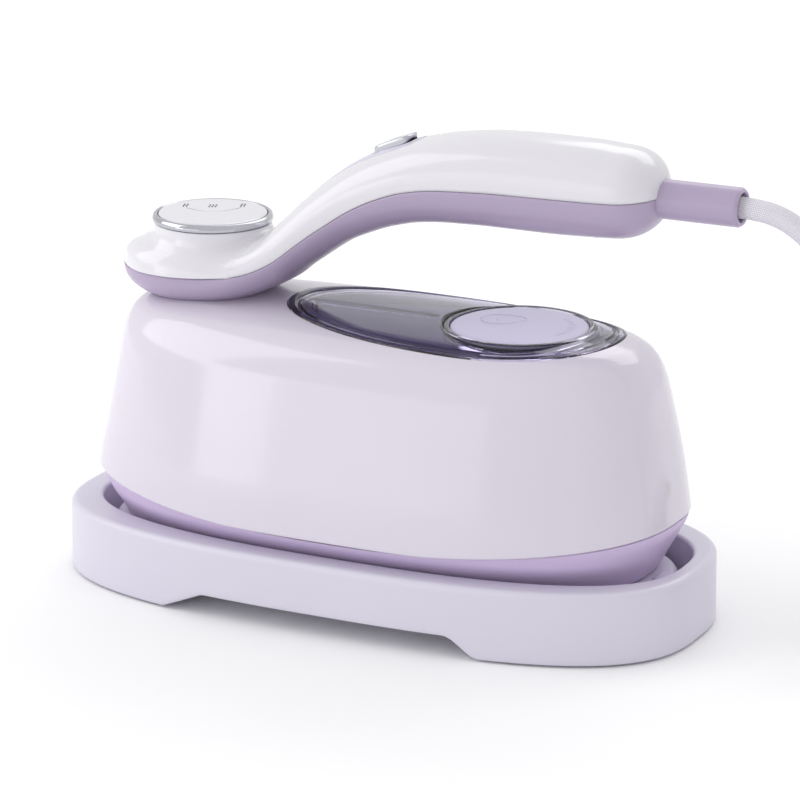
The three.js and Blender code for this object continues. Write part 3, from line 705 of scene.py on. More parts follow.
# ------------------------------------------------------------------ lead
@dataclass
class Lead(Assembly):
    """The lead: braided cord, its coil out of view and the plug that lies on it."""

    radius: float = 4.0
    coil: tuple[float, float] = (230.0, 50.0)
    inner: float = 42.0
    outer: float = 50.0
    pitch: float = 8.0
    plug_height: float = 33.3
    heading: float = 155.0
    hanging: tuple[Point, ...] = (
        (134.0, 0, LEAD_HEIGHT), (139.0, 0, LEAD_HEIGHT), (143.3, 0, LEAD_HEIGHT), (146, 0, 167),
        (153, 0, 166.2),
        (159.4, 0, 164.2), (165, 0, 161), (170, 0, 157), (174.4, 0, 151.6), (177.4, 0, 146),
        (179.4, 0, 139.6), (180, 0, 133), (180, 0, 114), (180, 0, 95), (180, 0, 76), (180, 0, 57),
        (180, 0, 38), (180.7, 0, 31), (182.6, 0, 25), (185.8, 0, 19), (190, 0, 14), (195, 0, 9.8),
        (201, 0, 6.6), (208, 0, 4.6), (214, 0, 4.1), (222, 0, 4.1),
    )

    def coil_points(self) -> Array:
        """Six turns, two beside each other in three layers, then the bend that rises to the plug.

        Returns:
            Points of the coil's centre line and of the last bend.
        """
        per_turn = 24
        ring = np.array([self.outer, self.inner, self.inner, self.outer, self.outer, self.inner + 4.0])
        layer = np.array([0.0, 0.0, 1.0, 1.0, 2.0, 2.0])
        leave, sweep, bend = radians(5.0), radians(60.0), 36.0
        step = np.arange(int(per_turn * (len(ring) - 0.78))) / per_turn
        at = step.astype(int)
        after = np.minimum(at + 1, len(ring) - 1)
        late = ease((step - at - 0.7) / 0.3)
        radius = ring[at] * (1 - late) + ring[after] * late
        height = self.radius + self.pitch * (layer[at] * (1 - late) + layer[after] * late)
        angle = -pi / 2 + 2 * pi * step
        turns = stack(self.coil[0] + radius * np.cos(angle), self.coil[1] + radius * np.sin(angle), height)
        share = np.linspace(0, 1, 10)
        centre = (self.coil[0] + 10.0 * cos(leave), self.coil[1] + 10.0 * sin(leave))
        angle = leave + sweep * share
        last = stack(centre[0] + bend * np.cos(angle), centre[1] + bend * np.sin(angle),
                     height[-1] + (self.plug_height - height[-1]) * ease(share))
        return np.concatenate([turns, last])

    def build(self) -> None:
        route = self._smooth_route(np.concatenate([np.array(self.hanging, float), self.coil_points()]))
        cord = carried("cord", route, self.radius, 16)
        self.wardrobe.dress(cord, "braid")
        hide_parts("cord_hanging", "cord_coil", "cord_tail")
        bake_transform(cord)
        parts = [*self._plug(route[-1]), self._sleeve(), self._tie()]
        outside = route[route[:, 0] >= SLEEVE_MOUTH]
        length = float(np.linalg.norm(np.diff(outside, axis=0), axis=1).sum()) * MM
        LOG.info("cord length %.3f m", length)

    @staticmethod
    def _smooth_route(points: Array) -> Array:
        """A Catmull-Rom curve through the points, eight steps to a span."""
        padded = np.concatenate([2 * points[:1] - points[1:2], points, 2 * points[-1:] - points[-2:-1]])
        before, here, after, next_on = (padded[shift:len(padded) - 3 + shift, None, :] for shift in range(4))
        t = np.linspace(0, 1, 8, endpoint=False)[None, :, None]
        curve = 0.5 * (2 * here + (after - before) * t + (2 * before - 5 * here + 4 * after - next_on) * t**2
                       + (3 * here - before - 3 * after + next_on) * t**3)
        return np.concatenate([curve.reshape(-1, 3), points[-1:]])

    def _along(self, start: Array, reach: Array, across: Array, height: Array) -> Array:
        """Points in the plug's own directions.

        Args:
            start: where the cord enters the plug.
            reach: distance ahead of that point.
            across: distance to its left.
            height: distance above it.

        Returns:
            The points.
        """
        heading = radians(self.heading)
        return stack(start[0] + reach * cos(heading) - across * sin(heading),
                     start[1] + reach * sin(heading) + across * cos(heading), start[2] + height)

    def _plug(self, tail: Array) -> list[bpy.types.Object]:
        """The moulded plug with its ribbed tail, and two round-nosed blades.

        Args:
            tail: the point where the cord enters the plug.

        Returns:
            The plug's pieces.
        """
        reach = np.linspace(0, 58, 150)[:, None]
        knots = [0, 21.5, 23.5, 38, 53, 56.8, 58]
        wide = smooth(reach, knots, [4.7, 6.3, 9.2, 10.8, 13.4, 13.2, 12.4])
        tall = smooth(reach, knots, [4.7, 6.3, 7.2, 8.1, 8.9, 8.8, 8.0])
        rib = np.where(reach < 21, 0.35 * np.sin(reach / 3.0 * 2 * pi) - 0.35, 0.0)
        angle = turn(64)
        blunt = 1.0 - 0.5 * ease((reach - 20.5) / 4)
        ring = self._along(tail, reach, (wide + rib) * power(np.cos(angle), blunt),
                           (tall + rib) * power(np.sin(angle), blunt))
        plug = mesh_from_grid("plug", self._capped(ring))
        parts = [self.wardrobe.fit(plug, "plug_white", Body.REST, "plug_body")]
        for name, side in (("live", 7.9), ("neutral", -7.9)):
            reach = 58.3 + 16.7 * np.linspace(0, 1, 40)[:, None]
            nose = np.sqrt(np.clip(1 - np.clip((reach - 72.0) / 3.2, 0, 1) ** 2, 0, 1))
            ring = self._along(tail, reach, side + 0.8 * (0.4 + 0.6 * nose) * power(np.cos(angle), 0.3),
                               3.1 * (0.5 + 0.5 * nose) * power(np.sin(angle), 0.3))
            blade = mesh_from_grid(f"blade_{name}", self._capped(ring))
            parts.append(self.wardrobe.fit(blade, "brass", Body.REST, f"plug_blade_{name}"))
        return parts

    @staticmethod
    def _capped(ring: Array) -> Array:
        """A stack of rings with each end drawn to its middle point."""
        ends = [np.broadcast_to(ring[row].mean(axis=0), ring[row].shape)[None] for row in (0, -1)]
        return np.concatenate([ends[0], ring, ends[1]])

    def _tie(self) -> bpy.types.Object:
        """A soft band round the coil's turns: a flat strip carried round their rounded-square bundle."""
        place, round_bundle = radians(120.0), turn(72)
        middle, half = (self.outer + self.inner) / 2, 8.5
        strip = turn(24)
        thick = half + 0.55 + 0.45 * power(np.cos(strip), 0.5)[:, None]
        across = 5.0 * power(np.sin(strip), 0.5)[:, None]
        radius = middle + thick * power(np.cos(round_bundle), 0.45)
        height = 12.2 + (thick + 3.4) * power(np.sin(round_bundle), 0.45)
        tie = mesh_from_grid("tie", stack(
            self.coil[0] + radius * cos(place) - across * sin(place),
            self.coil[1] + radius * sin(place) + across * cos(place),
            np.maximum(height, 0.2 + 0.2 * np.cos(strip)[:, None]),
        ), wrap_rows=True)
        return self.wardrobe.fit(tie, "silicone", Body.REST)

    def _sleeve(self) -> bpy.types.Object:
        """The swivelling sleeve: a straight tube with a chamfered mouth and a collar inside the grip."""
        seat = Seat.of("cord_sleeve")
        start, mouth = float(seat.low[0]), float(seat.high[0])
        collar = float(seat.high[1])
        profile = rounded([
            (5.3, start), (collar, start), (collar, start + 2.3), (7.3, start + 2.3), (7.3, mouth - 1.1),
            (6.6, mouth), (5.6, mouth), (5.3, mouth - 0.7),
        ], 0.35, closed=True)
        angle = turn(96)
        axis_z = float(seat.low[2] + seat.high[2]) / 2
        ring = stack(np.repeat(profile[:, 1:], 96, axis=1), profile[:, :1] * np.cos(angle),
                     axis_z + profile[:, :1] * np.sin(angle))
        sleeve = mesh_from_grid("sleeve", ring, wrap_rows=True)
        return self.wardrobe.fit(sleeve, "mauve", Body.SWIVEL, "cord_sleeve")


# ------------------------------------------------------------------ rest tray
@dataclass
class RestTray(Assembly):
    """The rest tray with its arch, its four pads and the platform inside."""

    half_length: float = 130.0
    half_width: float = 62.3
    height: float = 28.3
    floor: float = 12.0
    foot: float = 0.6
    arch: float = 8.35
    recess: Oval = Oval(-119.0, 122.5, 50.5)
    platform: Oval = Oval(-114.5, 117.5, 46.8)

    def underside(self, x: Array) -> Array:
        """Height of the underside: straight ramp in front of the arch, S-curve behind it."""
        front = np.clip((x + 67.0) / 18.0, 0, 1)
        rear = 1 - ease((x - 52.0) / 14.5)
        return self.foot + (self.arch - self.foot) * np.minimum(front, rear)

    def build(self) -> None:
        """Makes the tray, the platform and the pads."""
        self._tray()
        self._platform()
        for place in ("nose_near", "nose_far", "heel_near", "heel_far"):
            node = f"tray_foot_{place}"
            pad = turned(f"pad_{place}", ((0, 0.0), (8.2, 0.0), (9, 0.8), (9, 2.6), (0, 2.6)),
                         Seat.of(node).centre, 0.5, 64)
            self.wardrobe.fit(pad, "silicone", Body.REST, node)

    def _tray(self) -> None:
        """One closed skin: underside, outer wall, rounded rim, recess wall and recess floor."""
        angle = turn(480)
        outer = Oval(-self.half_length, self.half_length, self.half_width, 2.82)
        rim, lip, foot = 2.4, 1.6, 1.8
        rows: list[Array] = []
        for share in (0.0, 0.25, 0.5, 0.75, 0.9, 0.96):
            x, y = outer.inset(1.4).at(angle)
            rows.append(stack(x * share, y * share, self.underside(x * share)))
        for inset, lift in ((1.4, 0.0), (0.7, 0.12), (0.25, 0.5), (0.05, 1.1)):
            x, y = outer.inset(inset).at(angle)
            rows.append(stack(x, y, self.underside(x) + lift))
        for share in np.linspace(0.08, 1.0, 12):
            x, y = outer.inset(0.25 * ease(np.array(share))).at(angle)
            low = self.underside(x) + 1.1
            rows.append(stack(x, y, low + (self.height - 2.6 - low) * share))
        rows += [outer.row(angle, 0.25 + rim * (1 - cos(bend)), self.height - rim + rim * sin(bend))
                 for bend in quarter(8)]
        far_x, far_y = outer.inset(2.65).at(angle)
        lip_x, lip_y = self.recess.inset(-lip).at(angle)
        rows += [stack(far_x + (lip_x - far_x) * share, far_y + (lip_y - far_y) * share, self.height)
                 for share in shares(7)]
        rows += [self.recess.row(angle, -lip + lip * sin(bend), self.height - lip * (1 - cos(bend)))
                 for bend in quarter(7)]
        depth = self.height - lip - self.floor - 2.0
        rows += [self.recess.row(angle, share, self.height - lip - depth * share) for share in (0.3, 0.6, 0.9)]
        rows += [self.recess.row(angle, 1.0 + foot * (1 - cos(bend)), self.floor + foot * (1 - sin(bend)))
                 for bend in quarter(6)]
        x, y = self.recess.inset(1.0 + foot).at(angle)
        rows += [stack(x * share, y * share, self.floor) for share in (0.7, 0.4, 0.0)]
        tray = mesh_from_grid("tray", np.array(rows))
        self.wardrobe.fit(tray, "tray_lavender", Body.REST, "rest_tray")

    def _platform(self) -> None:
        """The raised rest with rolled edges, its pocket for the soleplate and the heel lug."""
        angle = turn(360)
        low, top = self.floor + 0.3, 22.0
        edge = 4.4
        rows = [self.platform.row(angle, inset, z) for inset, z in (
            (30.0, low), (3.0, low), (0.6, low), (0.1, low + 0.5), (0.0, low + 1.2), (0.15, 16.5))]
        rows += [self.platform.row(angle, 0.2 + 3.4 * (1 - cos(bend)), top - edge + edge * sin(bend))
                 for bend in quarter(9)]
        pocket = Oval(-107.0, 105.0, 43.0).inset(-0.9)
        outer_x, outer_y = self.platform.inset(3.6).at(angle)
        pocket_x, pocket_y = pocket.at(angle)
        rows += [stack(outer_x + (pocket_x - outer_x) * share, outer_y + (pocket_y - outer_y) * share, top)
                 for share in (0.4, 0.8)]
        rows += [pocket.row(angle, inset, z) for inset, z in (
            (0.0, top - 0.4), (0.1, 18.0), (0.3, 14.8), (1.2, 14.3), (30.0, 14.3))]
        platform = mesh_from_grid("platform", np.array(rows), wrap_rows=True)
        self.wardrobe.fit(platform, "pad_lavender", Body.REST, "rest_platform")
        self._lug()

    def _lug(self) -> None:
        """A pillow-shaped lug that keys the heel of the rest, a closed superellipsoid."""
        around, over = turn(48), np.linspace(-pi / 2, pi / 2, 32)[:, None]
        lug = mesh_from_grid("heel_lug", stack(
            115.6 + 4.6 * power(np.cos(over), 0.7) * power(np.cos(around), 0.8),
            8.6 * power(np.cos(over), 0.7) * power(np.sin(around), 0.8),
            17.6 + 6.4 * power(np.sin(over), 0.8),
        ))
        self.wardrobe.fit(lug, "pad_lavender", Body.REST)


# ------------------------------------------------------------------ water body
@dataclass
class WaterBody(Assembly):
    """The white body, the mauve skirt, the smoked window and what shows under it."""

    wall: float = 2.6
    window: Oval = Oval(-40.0, 95.7, 37.0, 2.2, 2.25, 34.0)
    cap_x: float = 55.0
    hole: float = 29.0
    knots: Values = (0, 8, 28, 49, 60, 67, 72.6, 78.6, 88.6, 107, 128, 145)
    heights: Values = (36, 44, 64, 85, 96, 102, 106.4, 109.4, 111.6, 112.8, 113.15, 113.2)
    fronts: Values = (-119.6, -118.8, -114.6, -110.8, -108.8, -107, -104.2, -99.4, -90, -72, -30, 1)
    rears: Values = (121.4, 120.5, 117.8, 113.6, 111, 108.6, 105.2, 100.4, 91, 74, 34, 1)
    halves: Values = (58.2, 57.6, 54.4, 50.2, 47.4, 44.4, 40.6, 35.2, 26, 13, 4, 0.01)

    def ring(self, run: Array, angle: Array, inset: float = 0.0) -> Array:
        """Points on the body's skin.

        Args:
            run: how far up the side and over the shoulder, along the wall.
            angle: angle round the plan.
            inset: how far inside the skin.

        Returns:
            The points.
        """
        front, rear, half = self._plan(run)
        z = smooth(run, self.knots, self.heights)
        return ring_between(front + inset, rear - inset, half - inset, z, angle)

    def _plan(self, run: Array) -> list[Array]:
        """The skin's front end, rear end and half width at a run."""
        return [smooth(run, self.knots, values) for values in (self.fronts, self.rears, self.halves)]

    def top(self, x: Array, y: Array) -> Array:
        """Height of the body's top over a point, by halving the run until its oval meets the point."""
        low, high = np.full(np.shape(x), 30.0), np.full(np.shape(x), 145.0)
        for _ in range(34):
            run = (low + high) / 2
            front, rear, half = self._plan(run)
            reach = np.maximum((rear - front) / 2, 1e-6)
            share = (np.abs(x - (front + rear) / 2) / reach) ** 2.6 + (np.abs(y) / half) ** 2.6
            low, high = np.where(share < 1, run, low), np.where(share < 1, high, run)
        return smooth((low + high) / 2, self.knots, self.heights)

    @staticmethod
    def hem(x: Array) -> Array:
        """Height of the line where the white body ends: 35 + 9.6 (x/120)^2.1."""
        return 35.0 + 9.6 * np.abs(x / 120.0) ** 2.1

    def hem_run(self, angle: Array) -> Array:
        """The run at which the skin meets the hem, by repeated substitution."""
        table = np.linspace(0, 40, 400)
        rise = smooth(table, self.knots, self.heights)
        run = np.full(angle.shape, 5.0)
        for _ in range(12):
            x = self.ring(run, angle)[..., 0]
            run = np.interp(self.hem(x), rise, table)
        return run

    def build(self) -> None:
        """Makes the shell, the skirt, the window and the tub."""
        self._shell()
        self._skirt()
        self._window()
        self._tub()
        self._filler()

    def _shell(self) -> None:
        """Outer skin from the hem over the shoulder to the window, a small lip, and the inner skin back."""
        angle = turn(400)
        start = self.hem_run(angle)
        lowest = start + 0.8
        rows = [self.ring(start + rise, angle, inset)
                for inset, rise in ((1.6, 0.0), (0.6, 0.05), (0.12, 0.3))]
        rows += [self.ring(lowest + (72.0 - lowest) * share, angle) for share in np.linspace(0, 1, 60)]
        edge = rows[-1]
        window_x, window_y = self.window.at(angle)
        for share in shares(43):
            x = edge[:, 0] + (window_x - edge[:, 0]) * share
            y = edge[:, 1] + (window_y - edge[:, 1]) * share
            rows.append(stack(x, y, self.top(x, y)))
        rim = rows[-1][:, 2]
        rows += [self.window.row(angle, inset, rim - drop)
                 for inset, drop in ((0.15, 0.08), (0.28, 0.3), (0.32, 0.8), (0.32, 3.0))]
        for share in shares(9):
            x = window_x + (edge[:, 0] * 0.975 - window_x) * share
            y = window_y + (edge[:, 1] * 0.94 - window_y) * share
            rows.append(stack(x, y, self.top(x, y) - 3.0))
        rows += [self.ring(70.0 + (start + 0.1 - 70.0) * share, angle, self.wall) for share in shares(9)]
        shell = mesh_from_grid("body", np.array(rows), wrap_rows=True)
        self.wardrobe.fit(shell, "body_white", Body.IRON, "body_shell")

    def _skirt(self) -> None:
        """The heat skirt: flares from the soleplate up to the hem, one closed ring wall."""
        angle = turn(360)
        height = [22.6, 28, 35, 44, 50]
        outline = ([-108.6, -111.0, -114.2, -118.2, -118.4], [109.4, 112.2, 115.8, 119.8, 120.0],
                   [45.4, 49.2, 55.2, 57.0, 57.2])

        def ring(z: Array, inset: float) -> Array:
            """Points round the skirt at a height."""
            front, rear, half = (smooth(z, height, values) for values in outline)
            return ring_between(front + inset, rear - inset, half - inset, z, angle)

        top, level = np.full(angle.shape, 38.0), np.zeros(angle.shape)
        for _ in range(12):
            top = self.hem(ring(top, 0.6)[:, 0]) - 0.3
        rows = [ring(22.6 + level, 2.4), ring(22.6 + level, 0.6), ring(22.9 + level, 0.1)]
        rows += [ring(23.0 + (top - 23.0) * share, 0.0) for share in shares(25)]
        rows += [ring(top + 0.1, inset) for inset in (1.0, 2.0)]
        rows += [ring(23.0 + (top - 23.0) * share, 3.0) for share in np.linspace(1, 0, 8)[1:]]
        skirt = mesh_from_grid("skirt", np.array(rows), wrap_rows=True)
        self.wardrobe.fit(skirt, "skirt_mauve", Body.IRON, "heat_skirt")

    def _edge(self, angle: Array) -> Array:
        """Distance from the cap's centre to the window's edge, found by halving."""
        low, high = np.full(angle.shape, 20.0), np.full(angle.shape, 140.0)
        for _ in range(34):
            reach = (low + high) / 2
            share = self.window.share(self.cap_x + reach * np.cos(angle), reach * np.sin(angle))
            low, high = np.where(share < 1, reach, low), np.where(share < 1, high, reach)
        return (low + high) / 2 - 0.35

    def _window(self) -> None:
        """The smoked lid: crowned like the body, with a rolled rim, a groove, an inner step and a rib."""
        angle = turn(720)
        reach = self._edge(angle)
        share = np.concatenate([np.linspace(0, 0.8, 40), np.linspace(0.8, 1.0, 60)[1:]])[:, None]
        radius = self.hole + (reach - self.hole) * share
        x, y = self.cap_x + radius * np.cos(angle), radius * np.sin(angle)
        inward = (1 - self.window.share(x, y)) * self.window.half
        rim = 0.55 * ease(inward / 0.5) * (1 - ease((inward - 1.7) / 0.5))
        groove = -0.5 * ease((inward - 1.9) / 0.4) * (1 - ease((inward - 2.7) / 0.6))
        lip = 0.08 * (1 - ease((radius - self.hole) / 1.2))
        surface = self.top(x, y)
        outer = stack(x, y, surface - 0.12 + rim + groove + lip)
        step = 0.9 * ease((inward - 5.0) / 1.5)
        rib = 1.5 * np.exp(-(((y + 2.0) / 0.9) ** 2)) * ease((x + 33) / 4) * (1 - ease((x - 18) / 4))
        under = stack(x, y, surface - 2.9 + step - rib)[::-1]
        lid = mesh_from_grid("window", np.concatenate([outer, under]), wrap_rows=True)
        self.wardrobe.fit(lid, "tank_tint", Body.IRON, "tank_window")

    def _tub(self) -> None:
        """The tank under the window: an open tub with a rolled lip and an inner shelf."""
        angle = turn(240)
        plan = self.window.inset(2.5)
        levels = ((9, 62), (7, 62), (4.4, 63.6), (3, 66), (1.2, 85), (0, 104.2), (0.3, 104.6), (1.7, 104.6),
                  (2.0, 104.0), (2.2, 98), (6.5, 95.5), (7.2, 94.5), (7.6, 80), (9, 68), (11, 65.2))
        pole = stack(plan.middle, 0 * angle, 0 * angle)
        rows = [pole + (0, 0, 62.2), *(plan.row(angle, inset, z) for inset, z in levels), pole + (0, 0, 65.0)]
        tub = mesh_from_grid("tub", np.array(rows))
        self.wardrobe.fit(tub, "tank_frost", Body.IRON, "tank_tub")

    def _filler(self) -> None:
        """The filler: clear collar, neck, plug, seal and the marked cap."""
        centre = Seat.of("filler_cap").centre
        for name, node, slot, body, radius, steps, profile in (
            ("collar", "filler_collar", "clear", Body.IRON, 0.35, 160,
             ((26.35, 108.6), (28.7, 107.4), (28.7, 112.1), (28.0, 112.5), (26.35, 112.5))),
            ("neck", "filler_neck", "clear", Body.IRON, 0.3, 96,
             ((14.6, 98), (16.6, 98), (16.6, 106.6), (25.6, 106.6), (25.6, 107.7), (14.6, 107.7))),
            ("stopper", "filler_plug", "cap_lavender", Body.PLUG, 0.5, 96,
             ((0, 100), (12, 100), (12, 108.6), (6, 108.6), (6, 109.8), (0, 109.8))),
            ("seal", "filler_seal", "silicone", Body.PLUG, 0.3, 96,
             ((12.3, 101.5), (13.8, 101.5), (14.2, 103), (13.8, 104.5), (12.3, 104.5))),
        ):
            piece = turned(name, profile, centre, radius, steps, closed=profile[0][0] > 0)
            self.wardrobe.fit(piece, slot, body, node)
        self._cap(Seat.of("filler_cap"))

    def _cap(self, seat: Seat) -> None:
        """The cap: a thin disc whose top carries a raised drop outline and a short arc of ticks.

        Args:
            seat: the cap's box.
        """
        centre_x, centre_y = seat.centre
        bottom, top = float(seat.low[2]), float(seat.high[2])
        angle = turn(480)
        radius = np.concatenate([np.linspace(0.02, 23.5, 110), 23.5 + 2.5 * np.sin(quarter(11))])[:, None]
        out = np.clip((radius - 23.6) / 2.42, 0, 1)
        roll = 0.9 * (1 - np.sqrt(np.clip(1 - out**2, 0, 1)))
        crown = top - 0.35 - 0.25 * (radius / 26) ** 2 - roll
        aside = angle - FACING
        u, v = radius * np.cos(aside) + 5.7, radius * np.sin(aside) - 7.3
        raised = 0.3 * self._drop(u, v) + 0.28 * self._ticks(radius, angle)
        surface = stack(centre_x + radius * np.cos(angle), centre_y + radius * np.sin(angle), crown + raised)
        side = [stack(centre_x + r * np.cos(angle), centre_y + r * np.sin(angle), z + 0 * angle) for r, z in (
            (26.0, top - 1.5), (26.0, bottom + 0.5), (25.6, bottom + 0.1), (25.0, bottom), (0.02, bottom))]
        cap = mesh_from_grid("cap", np.concatenate([surface, np.array(side)]))
        self.wardrobe.fit(cap, "cap_lavender", Body.CAP, "filler_cap")

    @staticmethod
    def _drop(u: Array, v: Array) -> Array:
        """Height share of a drop's outline, narrower to the right, with a short stroke in it."""
        along = np.clip((u + 8.6) / 17.2, 0, 1)
        half = 7.2 * (2.0 * np.sqrt(along * (1 - along))) * (1.12 - 0.5 * along)
        ring = np.where(np.abs(u) < 8.6, np.abs(np.abs(v) - half), 9.0)
        stroke = np.hypot(u + 2.0, np.maximum(np.abs(v) - 1.6, 0.0))
        return 1 - ease((np.minimum(ring, stroke) - 0.3) / 0.4)

    @staticmethod
    def _ticks(radius: Array, angle: Array) -> Array:
        """Height share of nine short ticks on an arc inside the cap's edge."""
        pitch = radians(8.5)
        order = np.mod(angle + radians(20), 2 * pi) / pitch
        near = np.abs(order - np.round(order)) * pitch * radius
        band = ease((radius - 18.2) / 0.4) * (1 - ease((radius - 20.8) / 0.4))
        return (1 - ease((near - 0.35) / 0.35)) * band * (np.round(order) <= 8)


# ------------------------------------------------------------------ handle
@dataclass
class Handle(Assembly):
    """The arched handle in two shells, its dial, its steam button and its screws."""

    wall: float = 1.6
    seam_gap: float = 0.14
    nose_start: float = -80.0
    nose_reach: float = 31.0
    rear_start: float = 95.0
    rear_reach: float = 18.0
    nose_level: float = 121.0
    rear_level: float = 168.6
    knots: Values = (-111, -80, -70, -60, -52, -46, -39.6, -33, -26.6, -20, -13.8, -7.4, 5.2, 17.7,
                                30, 48, 67, 85, 97, 113)
    tops: Values = (131.5, 131.6, 131.8, 132.8, 135.4, 139.2, 145.4, 151.9, 157.6, 162.8, 167.3,
                               171.1, 176.7, 180.8, 183.5, 185.6, 186.15, 186.0, 185.2, 185)
    bottoms: Values = (107.5, 107.6, 108.2, 110.2, 113.2, 116.2, 119.7, 124.9, 129.5, 134.2, 138.1,
                                  141.1, 145.8, 148.6, 149.6, 150, 150, 150.5, 151.2, 152)
    halves: Values = (26, 26, 25.6, 24.6, 23.2, 22, 20.8, 20, 19.3, 18.7, 18.3, 18.1, 18, 18, 18, 18,
                                 18, 18, 18, 18)
    seam_knots: Values = (-111, -84, -71, -58, -51.5, -45, -38.6, -30, -23.6, -17, -11, -4.6, 1.7, 8,
                                     14, 26, 39, 51, 75, 98.6, 113)
    seams: Values = (121, 121, 121.4, 122.6, 124, 126.5, 130.2, 137, 142, 146.6, 150.8, 154.6, 157.7,
                                160.3, 162.2, 164.4, 165.4, 166, 166.5, 167.2, 168.4)
    opening: Oval = Oval(-4.5, 12.2, 5.5, 5.0)

    def section(self, x: Array) -> tuple[Array, Array, Array, Array]:
        """The slice at x, drawn in towards the nose and the rear end as a superellipse is.

        Args:
            x: where the slice is.

        Returns:
            Its middle height, half height, half width and exponent.
        """
        tables = (self.tops, self.bottoms, self.halves)
        top, bottom, half = (smooth(x, self.knots, values) for values in tables)
        blunt = 2.4 - 0.05 * ease((x + 39.6) / 6.6)
        nose = np.clip((self.nose_start - x) / self.nose_reach, 0, 1)
        rear = np.clip((x - self.rear_start) / self.rear_reach, 0, 1)
        round_end = (1 - rear**2.4) ** (1 / 2.4)
        flat = (1 - nose**3.5) ** (1 / 3.5) * round_end
        wide = (1 - nose**2.15) ** (1 / 2.15) * round_end
        keel = np.where(x < 0, (1 - nose**2.1) ** (1 / 2.1), flat)
        level = np.where(x < 0, self.nose_level, self.rear_level)
        ended = (nose > 0) | (rear > 0)
        high = np.where(ended, level + (top - level) * flat, top)
        low = np.where(ended, level + (bottom - level) * keel, bottom)
        return (high + low) / 2, (high - low) / 2, half * wide, blunt

    def seam(self, x: Array) -> Array:
        """Height of the line between the two shells."""
        return smooth(x, self.seam_knots, self.seams)

    def top_at(self, x: Array, y: Array) -> Array:
        """Height of the handle's top over a point, on the slice's superellipse."""
        middle, tall, wide, blunt = self.section(x)
        share = np.clip(np.abs(y) / np.maximum(wide, 1e-6), 0, 1)
        return middle + tall * (1 - share**blunt) ** (1 / blunt)

    def stations(self) -> Array:
        """Slice places, closer together towards the two round ends."""
        nose = self.nose_start - self.nose_reach * np.sin(np.linspace(pi / 2, 0, 44))
        middle = np.linspace(self.nose_start, self.rear_start, 150)[1:-1]
        rear = self.rear_start + self.rear_reach * np.sin(np.linspace(0, pi / 2, 36))
        return np.concatenate([nose, middle, rear])

    def build(self) -> None:
        """Makes the shells, the neck, the dial, the button and the screws."""
        self._shells()
        self._neck()
        self._dial()
        self._button()
        for order in (1, 2):
            self._screw(f"screw_{order}", f"grip_screw_{order}")

    def _screw(self, name: str, node: str) -> None:
        """A screw: a domed head with a socket, and its shank.

        Args:
            name: the piece's name.
            node: the CAD node it stands for.
        """
        seat = Seat.of(node)
        low = float(seat.low[2])
        profile = [(radius, low + rise) for radius, rise in (
            (0, 0.9), (0.9, 0.9), (1.2, 0), (2.4, 0), (3, 0.6), (3, 1.5), (1.5, 1.5), (1.5, 8.3), (0, 8.3))]
        self.wardrobe.fit(turned(name, profile, seat.centre, 0.2, 48), "steel", Body.IRON, node)

    def _shells(self) -> None:
        """White top and mauve under shell: superellipse slices split at the seam, with a real wall.

        The top shell is drawn in a little round the head, where the neck's skin covers it.
        """
        x = self.stations()[:, None]
        middle, tall, wide, blunt = self.section(x)
        tucked = 1 - 0.03 * (1 - ease((x + 72) / 12))
        drawn = self.nose_start + (x - self.nose_start) * np.where(x < self.nose_start, 0.972, 1.0)
        share = np.linspace(0, 1, 72)
        for name, slot, node, upper in (("grip_top", "white_shell", "handle_upper", True),
                                        ("grip_under", "mauve", "handle_lower", False)):
            edge = self.seam(x) + (self.seam_gap if upper else -self.seam_gap)
            level = np.clip((edge - middle) / np.maximum(tall, 1e-6), -0.98, 0.98)
            start = np.arcsin(power(level, blunt / 2))
            angle = start + (pi - 2 * start) * share if upper else pi - start + (pi + 2 * start) * share
            across = wide * tucked if upper else wide
            shell = mesh_from_grid(name, stack(
                drawn if upper else x,
                across * power(np.cos(angle), 2 / blunt),
                middle + tall * power(np.sin(angle), 2 / blunt),
            ), wrap_columns=False)
            if upper:
                self._open(shell, self.opening.inset(-0.6))
            self._thicken(shell, outward=upper)
            self.wardrobe.fit(shell, slot, Body.IRON, node)

    @staticmethod
    def _open(shell: bpy.types.Object, plan: Oval) -> None:
        """Takes away the faces that lie over a plan.

        Args:
            shell: the open skin.
            plan: the opening's outline.
        """
        work = bmesh.new()
        work.from_mesh(shell.data)
        centres = np.array([face.calc_center_median() for face in work.faces]) / MM
        inside = plan.share(centres[:, 0], centres[:, 1]) < 1
        faces = [face for face, taken in zip(work.faces, inside) if taken]
        bmesh.ops.delete(work, geom=faces, context="FACES")
        work.to_mesh(shell.data)
        work.free()

    def _thicken(self, shell: bpy.types.Object, outward: bool) -> None:
        """Gives an open skin its wall, kept inside the drawn surface.

        Args:
            shell: the open skin.
            outward: True for a skin whose middle lies below it.
        """
        work = bmesh.new()
        work.from_mesh(shell.data)
        work.normal_update()
        heights = sum(face.normal.z * face.calc_area() for face in work.faces)
        if (heights < 0) == outward:
            bmesh.ops.reverse_faces(work, faces=work.faces)
        work.to_mesh(shell.data)
        work.free()
        wall = shell.modifiers.new("wall", "SOLIDIFY")
        wall.thickness = self.wall * MM
        wall.offset = -1.0
        wall.use_even_offset = False

    def _neck(self) -> None:
        """The head's top: ovals from the seam that draw in and round to the dial's circular neck."""
        angle = turn(320)
        height = [121.1, 123.5, 126.0, 128.0, 129.4, 131.0, 133.4, 136.0, 138.4]
        outline = ([-80.0, -80.0, -79.9, -79.4, -78.5, -77.2, -75.9, -75.25, -75.2],
                   [31.0, 30.9, 30.4, 29.3, 27.8, 25.6, 23.6, 22.95, 22.9],
                   [26.05, 26.0, 25.8, 25.4, 24.9, 24.1, 23.3, 22.95, 22.9],
                   [2.1, 2.1, 2.1, 2.1, 2.08, 2.05, 2.02, 2.0, 2.0])

